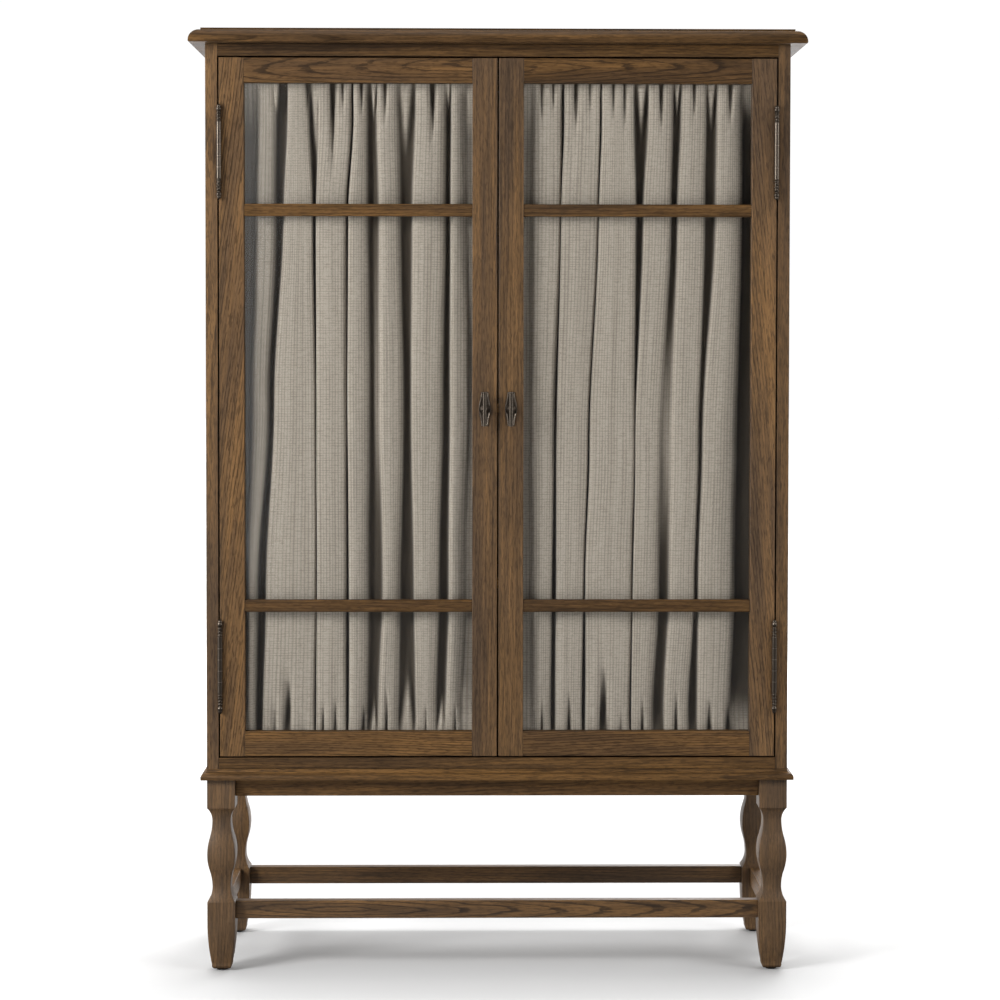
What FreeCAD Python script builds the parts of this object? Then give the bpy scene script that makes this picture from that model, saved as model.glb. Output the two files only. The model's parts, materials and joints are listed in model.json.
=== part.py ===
# A tall two-door storage cabinet in oak: a moulded top, a boarded case with three loose
# shelves, two glazed doors with gathered curtains behind the glass, and a leg frame with
# four-sided wave legs, aprons and a box stretcher.
# Lengths are in millimetres. +Z is up, the front of the cabinet faces -Y, and the origin is
# the centre of the floor under the whole cabinet.
import FreeCAD, Part
import math
import os

V = FreeCAD.Vector

# Overall sizes
cabinet_height = 1829.0
case_width = 1128.0
case_depth = 370.0
top_overhang = 30.0

# Top board, with a step and a quarter round along the front and both ends
top_thickness = 29.0
top_step = 3.5
top_round_radius = 22.0
top_lip_round = 2.5

# Base board under the case, with a cove above a quarter round
base_thickness = 20.5
base_cove_width = 6.0
base_cove_height = 8.5
base_quirk = 1.0
base_round_width = 4.5
base_round_height = 9.0

# Case boards
side_thickness = 23.0
case_rail_depth = 60.0
top_rail_height = 24.0
bottom_rail_height = 22.0
back_rail_height = 60.0
back_rail_thickness = 20.0
floor_thickness = 18.0
floor_housing = 6.0
back_thickness = 6.0
back_rebate = 8.0
rail_tenon_length = 10.0
rail_tenon_height = 12.0
rail_tenon_shoulder = 10.0
tenon_end_gap = 1.0

# Loose shelves on cleats
shelf_count = 3
shelf_thickness = 20.0
shelf_setback = 52.0
shelf_end_gap = 2.0
shelf_back_gap = 2.0
shelf_arris = 1.0
cleat_height = 22.0
cleat_thickness = 12.0
cleat_setback = 10.0
cleat_bevel = 8.0

# Door frames
door_gap = 3.0
meeting_gap = 3.0
door_thickness = 22.0
frame_width = 48.0
frame_arris = 0.8
frame_tenon_length = 25.0
frame_tenon_thickness = 8.0
frame_tenon_shoulder = 9.0

# Glazing: a rebate behind the frame's front lip holds one sheet and its beads
glazing_lip = 12.0
glazing_rebate = 8.0
glass_thickness = 4.0
glass_edge_gap = 1.0

# Glazing bars in front of the glass
bar_height = 24.0
bar_setback = 1.5
bar_round = 2.5
bar_tenon_length = 6.0
bar_tenon_thickness = 5.0
bar_tenon_shoulder = 4.0
end_pane_height = 232.5

# Finial hinges
hinge_inset = 178.0
barrel_length = 109.0
barrel_radius = 4.6
knuckle_count = 5
knuckle_gap = 0.3
axis_forward = 5.2
axis_inset = 0.5
leaf_thickness = 2.0
leaf_gap = 1.1
leaf_reach = 19.0
leaf_sweep_gap = 0.3
hinge_pin_radius = 2.5
hinge_pin_clearance = 0.05
collar_height_top = 18.5
collar_height_bottom = 24.5
finial_neck_radius = 3.0
finial_neck_height = 3.0
finial_radius = 4.3
finial_height = 10.0
finial_tip_height = 3.0
finial_tip_radius = 2.4

# Pulls: a lozenge back plate, a flared post and an upright bar
pull_height_above_door = 675.0
plate_height = 65.5
plate_width = 23.5
plate_end_width = 13.0
plate_thickness = 2.5
plate_arris = 0.6
post_base_radius = 9.0
post_flare = 6.0
post_waist_radius = 3.6
post_length = 14.0
pull_bar_width = 6.8
pull_bar_depth = 9.5
pull_bar_bevel = 1.6
pull_groove_width = 2.2
pull_groove_depth = 0.8

# Curtain rods, and their brackets on the back of each door, which are open at the top
rod_radius = 4.0
rod_fit = 0.05
rod_offset = 13.0
rod_standoff = 12.0
bracket_width = 16.0
bracket_height = 24.0
bracket_thickness = 2.5
bracket_inset = 2.0
bracket_wall = 3.0
saddle_width = 11.0

# Curtains
cloth_thickness = 1.5
cloth_rod_gap = 0.4
fold_depth = 18.0
fold_crown = 2.0
fold_return = 4.0
crown_shoulder_share = 0.25

# Edges of the main folds, hinge side first, as shares of the width of the door's opening.
# One row each: at the upper rod, halfway down and at the lower rod.
left_fold_shares = (
    ((0.060, 0.132), (0.180, 0.276), (0.328, 0.463), (0.478, 0.548),
     (0.590, 0.676), (0.748, 0.882), (0.908, 0.970)),
    ((0.031, 0.101), (0.128, 0.302), (0.316, 0.440), (0.454, 0.554),
     (0.596, 0.692), (0.735, 0.868), (0.904, 0.975)),
    ((0.008, 0.050), (0.090, 0.300), (0.314, 0.440), (0.456, 0.550),
     (0.606, 0.680), (0.745, 0.852), (0.897, 0.966)),
)
right_fold_shares = (
    ((0.037, 0.143), (0.199, 0.301), (0.344, 0.446), (0.517, 0.650),
     (0.665, 0.819), (0.834, 0.957)),
    ((0.057, 0.203), (0.223, 0.337), (0.388, 0.496), (0.510, 0.700),
     (0.715, 0.850), (0.866, 0.961)),
    ((0.065, 0.220), (0.243, 0.349), (0.395, 0.507), (0.521, 0.720),
     (0.735, 0.850), (0.872, 0.957)),
)

# Magnetic catches under the top rail and strike plates on the doors
catch_width = 38.0
catch_height = 13.0
catch_depth = 16.0
catch_bevel = 3.0
catch_offset = 32.0
catch_air = 0.3
strike_width = 30.0
strike_height = 11.0
strike_thickness = 1.2
strike_drop = 0.5

# Legs: the heights of the wave are measured from the floor
leg_size = 54.0
leg_length = 372.5
neck_inset = 9.3
upper_shoulder_height = 320.0
upper_neck_height = 295.0
swell_height = 229.0
lower_neck_height = 165.0
lower_shoulder_height = 136.0
taper_top_height = 97.0
foot_height = 12.0
foot_inset = 8.2
foot_round_width = 3.0

# Glides
glide_height = 4.0
glide_radius = 11.0

# Aprons, stretchers and corner blocks
apron_height = 35.0
apron_thickness = 20.0
stretcher_height = 35.0
stretcher_thickness = 20.0
leg_tenon_length = 20.0
leg_tenon_thickness = 10.0
leg_tenon_shoulder = 6.0
corner_block_height = 28.0
corner_block_reach = 52.0

# One overrun for every cut
overrun = 5.0

# Levels and faces that follow from the sizes above
case_bottom = glide_height + leg_length + base_thickness
leg_top = glide_height + leg_length
case_top = cabinet_height - top_thickness
half_case = case_width / 2
inner_half = half_case - side_thickness
back_y = (case_depth + top_overhang) / 2
front_y = back_y - case_depth
floor_top = case_bottom + bottom_rail_height
rail_underside = case_top - top_rail_height
panel_front = back_y - back_thickness
base_overhang = base_cove_width + base_quirk + base_round_width
diagonal_share = math.sqrt(0.5)

# Faces of the left door; the right door mirrors them
door_bottom = floor_top + door_gap
door_top = rail_underside - door_gap
door_outer = -(inner_half - door_gap)
door_inner = -meeting_gap / 2
door_back = front_y + door_thickness
opening_left = door_outer + frame_width
opening_right = door_inner - frame_width
opening_bottom = door_bottom + frame_width
opening_top = door_top - frame_width
opening_width = opening_right - opening_left
glass_front = front_y + glazing_lip
glass_back = glass_front + glass_thickness
bar_front = front_y + bar_setback
hinge_x = door_outer + axis_inset
hinge_y = front_y - axis_forward
hinge_levels = (door_bottom + hinge_inset, door_top - hinge_inset)
rod_y = door_back + rod_standoff
rod_levels = (opening_bottom - rod_offset, opening_top + rod_offset)
bracket_left = opening_left - glazing_rebate - bracket_inset - bracket_width
bracket_right = opening_right + glazing_rebate + bracket_inset + bracket_width


def box(x_low, x_high, y_low, y_high, z_low, z_high):
    """A plain block between two corners."""
    corner = V(x_low, y_low, z_low)
    return Part.makeBox(x_high - x_low, y_high - y_low, z_high - z_low, corner)


def rod(start, direction, radius, length):
    """A round bar from a point along a direction."""
    return Part.makeCylinder(radius, length, start, direction)


def mirrored(shape):
    """The same piece on the other side of the cabinet's middle."""
    return shape.mirror(V(0, 0, 0), V(1, 0, 0))


def edges_of(stretches, place):
    """Edges of an outline: two points make a line, and three an arc."""
    edges = []
    for stretch in stretches:
        points = [place(*point) for point in stretch]
        if len(points) == 2:
            edges.append(Part.LineSegment(*points).toShape())
        else:
            edges.append(Part.Arc(*points).toShape())
    return edges


def face_of(edges):
    """The flat face inside a closed outline."""
    return Part.Face(Part.Wire(Part.sortEdges(edges)[0]))


def arc_from_upright(start, end):
    """An arc that leaves its start upright, as (across, height) points."""
    rise = end[1] - start[1]
    spread = end[0] - start[0]
    radius = (rise ** 2 + spread ** 2) / (2 * spread)
    half_angle = math.asin(abs(rise / radius)) / 2
    across = start[0] + radius * (1 - math.cos(half_angle))
    height = start[1] + math.copysign(radius * math.sin(half_angle), rise)
    return start, (across, height), end


def crossed_prisms(stretches, x_half, y_low, y_high, back_is_plain):
    """A board or post with one moulded outline seen from the front and from the side.

    The outline is given outward from the faces at x_half and y_low. Where the two prisms
    cross, the mouldings meet in mitres.
    """
    top = stretches[0][0]
    low = stretches[-1][-1]
    reach = max(point[0] for stretch in stretches for point in stretch) + overrun
    start_x = -x_half - reach
    start_y = y_low - reach
    end_y = y_high + reach

    across = edges_of(stretches, lambda out, z: V(x_half + out, start_y, z))
    across += edges_of(stretches, lambda out, z: V(-x_half - out, start_y, z))
    along = edges_of(stretches, lambda out, z: V(start_x, y_low - out, z))
    if not back_is_plain:
        along += edges_of(stretches, lambda out, z: V(start_x, y_high + out, z))
    else:
        back_edge = V(start_x, y_high, low[1]), V(start_x, y_high, top[1])
        along.append(Part.LineSegment(*back_edge).toShape())
    for out, z in (top, low):
        ends = V(-x_half - out, start_y, z), V(x_half + out, start_y, z)
        across.append(Part.LineSegment(*ends).toShape())
        back = y_high if back_is_plain else y_high + out
        ends = V(start_x, y_low - out, z), V(start_x, back, z)
        along.append(Part.LineSegment(*ends).toShape())
    front = face_of(across).extrude(V(0, end_y - start_y, 0))
    side = face_of(along).extrude(V(-2 * start_x, 0, 0))
    return front.common(side)


def top_board():
    """The top, overhanging the front and both ends, flush at the back."""
    round_start = top_overhang - top_round_radius
    round_top = cabinet_height - top_step
    round_low = round_top - top_round_radius
    middle = (round_start + top_round_radius * diagonal_share,
              round_low + top_round_radius * diagonal_share)
    lip_middle = (top_overhang - top_lip_round * (1 - diagonal_share),
                  case_top + top_lip_round * (1 - diagonal_share))
    stretches = [
        ((round_start, cabinet_height), (round_start, round_top)),
        ((round_start, round_top), middle, (top_overhang, round_low)),
        ((top_overhang, round_low), (top_overhang, case_top + top_lip_round)),
        ((top_overhang, case_top + top_lip_round), lip_middle,
         (top_overhang - top_lip_round, case_top)),
    ]
    return crossed_prisms(stretches, half_case, front_y, back_y, True)


def base_board():
    """The board that the case stands on, with the legs and aprons under it."""
    cove_low = case_bottom - base_cove_height
    cove_middle = (base_cove_width * (1 - diagonal_share),
                   case_bottom - base_cove_height * diagonal_share)
    round_start = base_cove_width + base_quirk
    round_low = cove_low - base_round_height
    round_middle = (round_start + base_round_width * diagonal_share,
                    cove_low - base_round_height * (1 - diagonal_share))
    stretches = [
        ((0, case_bottom), cove_middle, (base_cove_width, cove_low)),
        ((base_cove_width, cove_low), (round_start, cove_low)),
        ((round_start, cove_low), round_middle, (base_overhang, round_low)),
        ((base_overhang, round_low), (base_overhang, leg_top)),
    ]
    return crossed_prisms(stretches, half_case, front_y, back_y, True)


def rail_body(y_low, y_high, z_low, z_high):
    """A board between the side panels."""
    return box(-inner_half, inner_half, y_low, y_high, z_low, z_high)


def rail_tenons(y_low, y_high, z_low, z_high, end_gap):
    """The stub tenons of a case rail, longer by the end gap where they cut a mortise."""
    length = rail_tenon_length + end_gap
    middle = (z_low + z_high) / 2
    low = middle - rail_tenon_height / 2
    high = middle + rail_tenon_height / 2
    front = y_low + rail_tenon_shoulder
    back = y_high - rail_tenon_shoulder
    right = box(inner_half, inner_half + length, front, back, low, high)
    return [right, mirrored(right)]


def back_rail_tenons(end_gap):
    """The back rail stands on edge, so its tenons are tall and thin."""
    length = rail_tenon_length + end_gap
    middle = panel_front - back_rail_thickness / 2
    front = middle - rail_tenon_height / 2
    back = middle + rail_tenon_height / 2
    low = case_top - back_rail_height + rail_tenon_shoulder
    high = case_top - rail_tenon_shoulder
    right = box(inner_half, inner_half + length, front, back, low, high)
    return [right, mirrored(right)]


top_rail_span = (front_y, front_y + case_rail_depth, rail_underside, case_top)
bottom_rail_span = (front_y, front_y + case_rail_depth, case_bottom, floor_top)


def case_top_rail():
    """The rail over the doors."""
    return rail_body(*top_rail_span).fuse(rail_tenons(*top_rail_span, 0))


def case_bottom_rail():
    """The rail under the doors."""
    return rail_body(*bottom_rail_span).fuse(rail_tenons(*bottom_rail_span, 0))


def case_back_rail():
    """The rail across the top of the back, which the top board is fixed to."""
    body = rail_body(panel_front - back_rail_thickness, panel_front,
                     case_top - back_rail_height, case_top)
    return body.fuse(back_rail_tenons(0))


def case_floor():
    """The floor of the case, housed in the side panels behind the bottom rail."""
    reach = inner_half + floor_housing
    return box(-reach, reach, front_y + case_rail_depth, panel_front,
               floor_top - floor_thickness, floor_top)


def back_panel():
    """The thin back, let into rebates in the side panels."""
    reach = inner_half + back_rebate
    return box(-reach, reach, panel_front, back_y, case_bottom, case_top)


def shelf_undersides():
    """The heights of the shelves, which divide the case evenly."""
    pitch = (rail_underside - floor_top + shelf_thickness) / (shelf_count + 1)
    return [floor_top + pitch * (step + 1) - shelf_thickness for step in range(shelf_count)]


def shelf(underside):
    """One loose shelf."""
    reach = inner_half - shelf_end_gap
    body = box(-reach, reach, front_y + shelf_setback, panel_front - shelf_back_gap,
               underside, underside + shelf_thickness)
    front = front_y + shelf_setback + shelf_arris / 2
    edges = [edge for edge in body.Edges
             if edge.Length > reach and edge.CenterOfMass.y < front]
    return body.makeChamfer(shelf_arris, edges)


def shelf_cleats():
    """A cleat at each end of each shelf, bevelled where its front end shows."""
    front = front_y + shelf_setback + cleat_setback
    cleats = []
    for underside in shelf_undersides():
        low = underside - cleat_height
        corners = [
            (panel_front, underside), (front, underside), (front, underside - cleat_bevel),
            (front + cleat_height - cleat_bevel, low), (panel_front, low),
        ]
        points = [V(-inner_half, y, z) for y, z in corners]
        face = Part.Face(Part.makePolygon(points + points[:1]))
        left = face.extrude(V(cleat_thickness, 0, 0))
        cleats += [left, mirrored(left)]
    return Part.makeCompound(cleats)


def side_panel_left():
    """The left side: rebated for the back, housed for the floor, cut for rails and hinges."""
    panel = box(-half_case, -inner_half, front_y, back_y, case_bottom, case_top)
    cuts = [
        box(-inner_half - back_rebate, -inner_half + overrun, panel_front, back_y + overrun,
            case_bottom - overrun, case_top + overrun),
        box(-inner_half - floor_housing, -inner_half + overrun, front_y + case_rail_depth,
            panel_front, floor_top - floor_thickness, floor_top),
        rail_tenons(*top_rail_span, tenon_end_gap)[1],
        rail_tenons(*bottom_rail_span, tenon_end_gap)[1],
        back_rail_tenons(tenon_end_gap)[1],
    ]
    for level in hinge_levels:
        cuts.append(case_leaf_plate(level, overrun))
    return panel.cut(cuts)


def case_leaf_plate(level, front_overrun):
    """The flat of a hinge leaf on the case, its outside in line with the barrel's side."""
    outside = hinge_x - barrel_radius
    return box(outside, outside + leaf_thickness, hinge_y - front_overrun, front_y + leaf_reach,
               level - barrel_length / 2, level + barrel_length / 2)


def door_leaf_plate(level, front_overrun):
    """The flat of a hinge leaf on the door, across the leaf gap from the case's leaf."""
    outside = hinge_x - barrel_radius + leaf_thickness + leaf_gap
    return box(outside, outside + leaf_thickness, hinge_y - front_overrun, front_y + leaf_reach,
               level - barrel_length / 2, level + barrel_length / 2)


def hinge_leaf(plate, level, own_parity):
    """A leaf with every other knuckle of the barrel, notched for the other leaf's knuckles."""
    pitch = barrel_length / knuckle_count
    bottom = level - barrel_length / 2
    notch_back = hinge_y + barrel_radius + leaf_sweep_gap
    knuckles = []
    notches = []
    for index in range(knuckle_count):
        start = V(hinge_x, hinge_y, bottom + index * pitch)
        if index % 2 == own_parity:
            low_gap = knuckle_gap / 2 if index else 0
            high_gap = knuckle_gap / 2 if index < knuckle_count - 1 else 0
            own_start = start + V(0, 0, low_gap)
            knuckles.append(rod(own_start, V(0, 0, 1), barrel_radius, pitch - low_gap - high_gap))
        else:
            notches.append(box(hinge_x - barrel_radius - overrun, hinge_x + barrel_radius,
                               hinge_y - overrun, notch_back,
                               start.z - knuckle_gap / 2, start.z + pitch + knuckle_gap / 2))
    return plate.cut(notches).fuse(knuckles)


def finial(collar_height, base_z, upward):
    """A turned finial at the hinge's axis: a collar, a neck and a bullet, away from the barrel."""
    neck_middle = collar_height + finial_neck_height / 2
    bullet_foot = collar_height + finial_neck_height
    bullet_head = bullet_foot + finial_height
    tip = bullet_head + finial_tip_height
    profile = [
        (0, 0), (barrel_radius, 0), (barrel_radius, collar_height),
        (finial_neck_radius, neck_middle), (finial_radius, bullet_foot),
        (finial_radius, bullet_head), (finial_tip_radius, tip), (0, tip),
    ]
    points = [V(hinge_x + radius, hinge_y, base_z + upward * height)
              for radius, height in profile]
    face = Part.Face(Part.makePolygon(points + points[:1]))
    return face.revolve(V(hinge_x, hinge_y, 0), V(0, 0, 1), 360)


def hinge_case_leaves():
    """The leaves let into the side panels: knuckles one, three and five, pin and finials."""
    leaves = []
    for level in hinge_levels:
        low = level - barrel_length / 2
        high = level + barrel_length / 2
        pin = rod(V(hinge_x, hinge_y, low), V(0, 0, 1), hinge_pin_radius, barrel_length)
        turned = [pin, finial(collar_height_top, high, 1), finial(collar_height_bottom, low, -1)]
        leaf = hinge_leaf(case_leaf_plate(level, 0), level, 0).fuse(turned).removeSplitter()
        leaves += [leaf, mirrored(leaf)]
    return Part.makeCompound(leaves)


def door_hinge_leaves():
    """The leaves let into a door's stile: knuckles two and four, bored for the pin."""
    leaves = []
    for level in hinge_levels:
        bore = rod(V(hinge_x, hinge_y, level - barrel_length / 2), V(0, 0, 1),
                   hinge_pin_radius + hinge_pin_clearance, barrel_length)
        leaf = hinge_leaf(door_leaf_plate(level, 0), level, 1)
        leaves.append(leaf.cut(bore).removeSplitter())
    return Part.makeCompound(leaves)


def frame_tenon(x_face, inward, z_low, z_high, end_gap):
    """A door rail's tenon, from the shoulder at x_face into a stile."""
    length = frame_tenon_length + end_gap
    middle = (front_y + door_back) / 2
    front = middle - frame_tenon_thickness / 2
    back = middle + frame_tenon_thickness / 2
    low = z_low + frame_tenon_shoulder
    high = z_high - frame_tenon_shoulder
    return box(min(x_face, x_face + inward * length), max(x_face, x_face + inward * length),
               front, back, low, high)


def bar_tenon(x_face, inward, level, end_gap):
    """A glazing bar's stub tenon, which enters the edge of a stile."""
    length = bar_tenon_length + end_gap
    middle = (bar_front + glass_front) / 2
    front = middle - bar_tenon_thickness / 2
    back = middle + bar_tenon_thickness / 2
    low = level + bar_tenon_shoulder
    high = level + bar_height - bar_tenon_shoulder
    return box(min(x_face, x_face + inward * length), max(x_face, x_face + inward * length),
               front, back, low, high)


bar_levels = (opening_bottom + end_pane_height, opening_top - end_pane_height - bar_height)
rail_spans = ((door_bottom, opening_bottom), (opening_top, door_top))


def glazing_space():
    """The rebate round the back of a door's opening, right through to the back."""
    return box(opening_left - glazing_rebate, opening_right + glazing_rebate,
               glass_front, door_back + overrun,
               opening_bottom - glazing_rebate, opening_top + glazing_rebate)


def eased(board):
    """A board of the door with the long front edges eased."""
    length = max(edge.Length for edge in board.Edges)
    face = front_y + frame_arris / 2
    edges = [edge for edge in board.Edges
             if edge.Length > length - frame_arris and edge.CenterOfMass.y < face]
    return board.makeChamfer(frame_arris, edges)


def stile(x_low, x_high, x_face, inward):
    """A stile with its mortises and the glazing rebate; x_face is the edge at the opening."""
    body = eased(box(x_low, x_high, front_y, door_back, door_bottom, door_top))
    cuts = [glazing_space()]
    cuts += [frame_tenon(x_face, inward, *span, tenon_end_gap) for span in rail_spans]
    cuts += [bar_tenon(x_face, inward, level, tenon_end_gap) for level in bar_levels]
    return body.cut(cuts)


def hinge_stile():
    """The stile at the hinges, with recesses for their leaves."""
    body = stile(door_outer, opening_left, opening_left, -1)
    return body.cut([door_leaf_plate(level, overrun) for level in hinge_levels])


def meeting_stile():
    """The stile at the cabinet's middle."""
    return stile(opening_right, door_inner, opening_right, 1)


def door_rail(span):
    """A rail of the door between its stiles, tenoned at both ends."""
    body = eased(box(opening_left, opening_right, front_y, door_back, *span))
    body = body.cut(glazing_space())
    tenons = [frame_tenon(opening_left, -1, *span, 0), frame_tenon(opening_right, 1, *span, 0)]
    return body.fuse(tenons)


def glazing_bar(level):
    """A bar across the front of the glass, with rounded front edges."""
    body = box(opening_left, opening_right, bar_front, glass_front, level, level + bar_height)
    edges = [edge for edge in body.Edges
             if edge.Length > opening_width / 2 and edge.CenterOfMass.y < bar_front + bar_round / 2]
    body = body.makeFillet(bar_round, edges)
    tenons = [bar_tenon(opening_left, -1, level, 0), bar_tenon(opening_right, 1, level, 0)]
    return body.fuse(tenons)


def glass():
    """One sheet of glass in the rebate."""
    spare = glazing_rebate - glass_edge_gap
    return box(opening_left - spare, opening_right + spare, glass_front, glass_back,
               opening_bottom - spare, opening_top + spare)


def glazing_beads():
    """Four beads that hold the glass, flush with the back of the door."""
    outer_left = opening_left - glazing_rebate
    outer_right = opening_right + glazing_rebate
    beads = []
    for low in (opening_bottom - glazing_rebate, opening_top):
        beads.append(box(outer_left, outer_right, glass_back, door_back,
                         low, low + glazing_rebate))
    for left in (outer_left, opening_right):
        beads.append(box(left, left + glazing_rebate, glass_back, door_back,
                         opening_bottom, opening_top))
    return Part.makeCompound(beads)


def pull_middle():
    """The middle of the pull, on the meeting stile."""
    return (opening_right + door_inner) / 2, door_bottom + pull_height_above_door


def pull_plate():
    """The lozenge plate on the face of the stile."""
    x, z = pull_middle()
    half_height = plate_height / 2
    half_width = plate_width / 2
    half_end = plate_end_width / 2
    corners = [
        (-half_end, half_height), (half_end, half_height), (half_width, 0),
        (half_end, -half_height), (-half_end, -half_height), (-half_width, 0),
    ]
    points = [V(x + across, front_y, z + up) for across, up in corners]
    plate = Part.Face(Part.makePolygon(points + points[:1])).extrude(V(0, -plate_thickness, 0))
    front = front_y - plate_thickness
    edges = [edge for edge in plate.Edges if edge.CenterOfMass.y < front + plate_arris / 2]
    return plate.makeChamfer(plate_arris, edges)


def pull():
    """The flared post and the upright bar, which is grooved down its front."""
    x, z = pull_middle()
    seat = front_y - plate_thickness
    bar_back = seat - post_length
    profile = [
        (0, 0), (post_base_radius, 0), (post_waist_radius, post_flare),
        (post_waist_radius, post_length), (0, post_length),
    ]
    points = [V(x + radius, seat - rise, z) for radius, rise in profile]
    outline = Part.Face(Part.makePolygon(points + points[:1]))
    post = outline.revolve(V(x, 0, z), V(0, 1, 0), 360)

    half_width = pull_bar_width / 2
    half_height = plate_height / 2
    bar_front_y = bar_back - pull_bar_depth
    bar = box(x - half_width, x + half_width, bar_front_y, bar_back,
              z - half_height, z + half_height)
    upright = [edge for edge in bar.Edges
               if edge.Length > half_height and edge.CenterOfMass.y < bar_back - pull_bar_bevel]
    bar = bar.makeChamfer(pull_bar_bevel, upright)
    groove = box(x - pull_groove_width / 2, x + pull_groove_width / 2,
                 bar_front_y - overrun, bar_front_y + pull_groove_depth,
                 z - half_height - overrun, z + half_height + overrun)
    return post.fuse(bar.cut(groove))


def strike_plate():
    """The steel plate on the back of the door that the catch holds."""
    middle = door_inner - catch_offset
    high = door_top - strike_drop
    return box(middle - strike_width / 2, middle + strike_width / 2,
               door_back, door_back + strike_thickness, high - strike_height, high)


def door_catches():
    """A magnetic catch for each door, under the top rail."""
    middle = door_inner - catch_offset
    front = door_back + strike_thickness + catch_air
    body = box(middle - catch_width / 2, middle + catch_width / 2,
               front, front + catch_depth, rail_underside - catch_height, rail_underside)
    low = rail_underside - catch_height + catch_bevel / 2
    edges = [edge for edge in body.Edges
             if edge.Length > catch_width - catch_bevel and edge.CenterOfMass.z < low
             and edge.CenterOfMass.y > front + catch_bevel]
    body = body.makeChamfer(catch_bevel, edges)
    return Part.makeCompound([body, mirrored(body)])


def bracket_spans():
    """Where the brackets stand across the door, at the hinge side and the meeting side."""
    return (bracket_left, bracket_left + bracket_width), (bracket_right - bracket_width,
                                                           bracket_right)


def curtain_rods():
    """An upper and a lower rod, as long as the saddles of their brackets reach."""
    hinge_side, meeting_side = bracket_spans()
    left = hinge_side[1] - saddle_width
    right = meeting_side[0] + saddle_width
    rods = [rod(V(left, rod_y, level), V(1, 0, 0), rod_radius, right - left)
            for level in rod_levels]
    return Part.makeCompound(rods)


def rod_bracket(x_low, x_high, level):
    """A plate screwed to the stile, and an arm that the rod drops into."""
    plate = box(x_low, x_high, door_back, door_back + bracket_thickness,
                level - bracket_height / 2, level + bracket_height / 2)
    slot_reach = rod_radius + rod_fit
    arm = box(x_low, x_high, door_back, rod_y + slot_reach + bracket_wall,
              level - slot_reach - bracket_wall, level + slot_reach)
    return plate.fuse(arm)


def rod_brackets():
    """Four brackets, at the ends of both rods, slotted from their inner sides."""
    brackets = []
    hinge_side, meeting_side = bracket_spans()
    slot_left = hinge_side[1] - saddle_width
    slot_right = meeting_side[0] + saddle_width
    slot_reach = rod_radius + rod_fit
    for level in rod_levels:
        slot = box(slot_left, slot_right, rod_y - slot_reach, rod_y + slot_reach,
                   level - slot_reach, level + slot_reach + overrun)
        for span in (hinge_side, meeting_side):
            brackets.append(rod_bracket(*span, level).cut(slot))
    return Part.makeCompound(brackets)


def left_of(start, end):
    """The unit direction to the left of a stretch, seen from above."""
    run = end[0] - start[0]
    rise = end[1] - start[1]
    length = math.hypot(run, rise)
    return -rise / length, run / length


def fold_chain(folds, front, back):
    """The line of the cloth in plan: crowned folds, with returns to narrow valleys."""
    chain = []
    for start_share, end_share in folds:
        start = opening_left + start_share * opening_width
        end = opening_left + end_share * opening_width
        shoulder = (end - start) * crown_shoulder_share
        chain += [
            (start + fold_return, back), (start, front),
            (start + shoulder, front - fold_crown), (end - shoulder, front - fold_crown),
            (end, front), (end - fold_return, back),
        ]
    return chain[1:-1]


def cloth_section(folds, front, back, level):
    """The closed plan of the cloth at one height: the line and its far side."""
    chain = fold_chain(folds, front, back)
    normals = [left_of(start, end) for start, end in zip(chain, chain[1:])]
    before = normals[:1] + normals
    after = normals + normals[-1:]
    far_side = []
    for corner, first, second in zip(chain, before, after):
        reach = cloth_thickness / (1 + first[0] * second[0] + first[1] * second[1])
        far_side.append((corner[0] + (first[0] + second[0]) * reach,
                         corner[1] + (first[1] + second[1]) * reach))
    points = [V(x, y, level) for x, y in chain + far_side[::-1]]
    return Part.makePolygon(points + points[:1])


def curtain(fold_shares):
    """A curtain gathered on both rods: folded cloth between two rod sleeves."""
    at_top, at_middle, at_bottom = fold_shares
    low_rod, high_rod = rod_levels
    sleeve_inner = rod_radius + cloth_rod_gap
    sleeve_outer = sleeve_inner + cloth_thickness
    front = rod_y - fold_depth / 2 + fold_crown
    back = rod_y + fold_depth / 2 - cloth_thickness
    levels = (
        (at_bottom, low_rod - sleeve_outer),
        (at_middle, (low_rod + high_rod) / 2),
        (at_top, high_rod + sleeve_outer),
    )
    sections = [cloth_section(folds, front, back, level) for folds, level in levels]
    cloth = Part.makeLoft(sections, True, True)
    sleeves = []
    bores = []
    for folds, level in ((at_bottom, low_rod), (at_top, high_rod)):
        left = opening_left + folds[0][0] * opening_width
        right = opening_left + folds[-1][1] * opening_width
        sleeves.append(box(left, right, rod_y - sleeve_outer, rod_y + sleeve_outer,
                           level - sleeve_outer, level + sleeve_outer))
        bores.append(box(left - overrun, right + overrun, rod_y - sleeve_inner,
                         rod_y + sleeve_inner, level - sleeve_inner, level + sleeve_inner))
    return cloth.fuse(sleeves).cut(bores)


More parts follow.
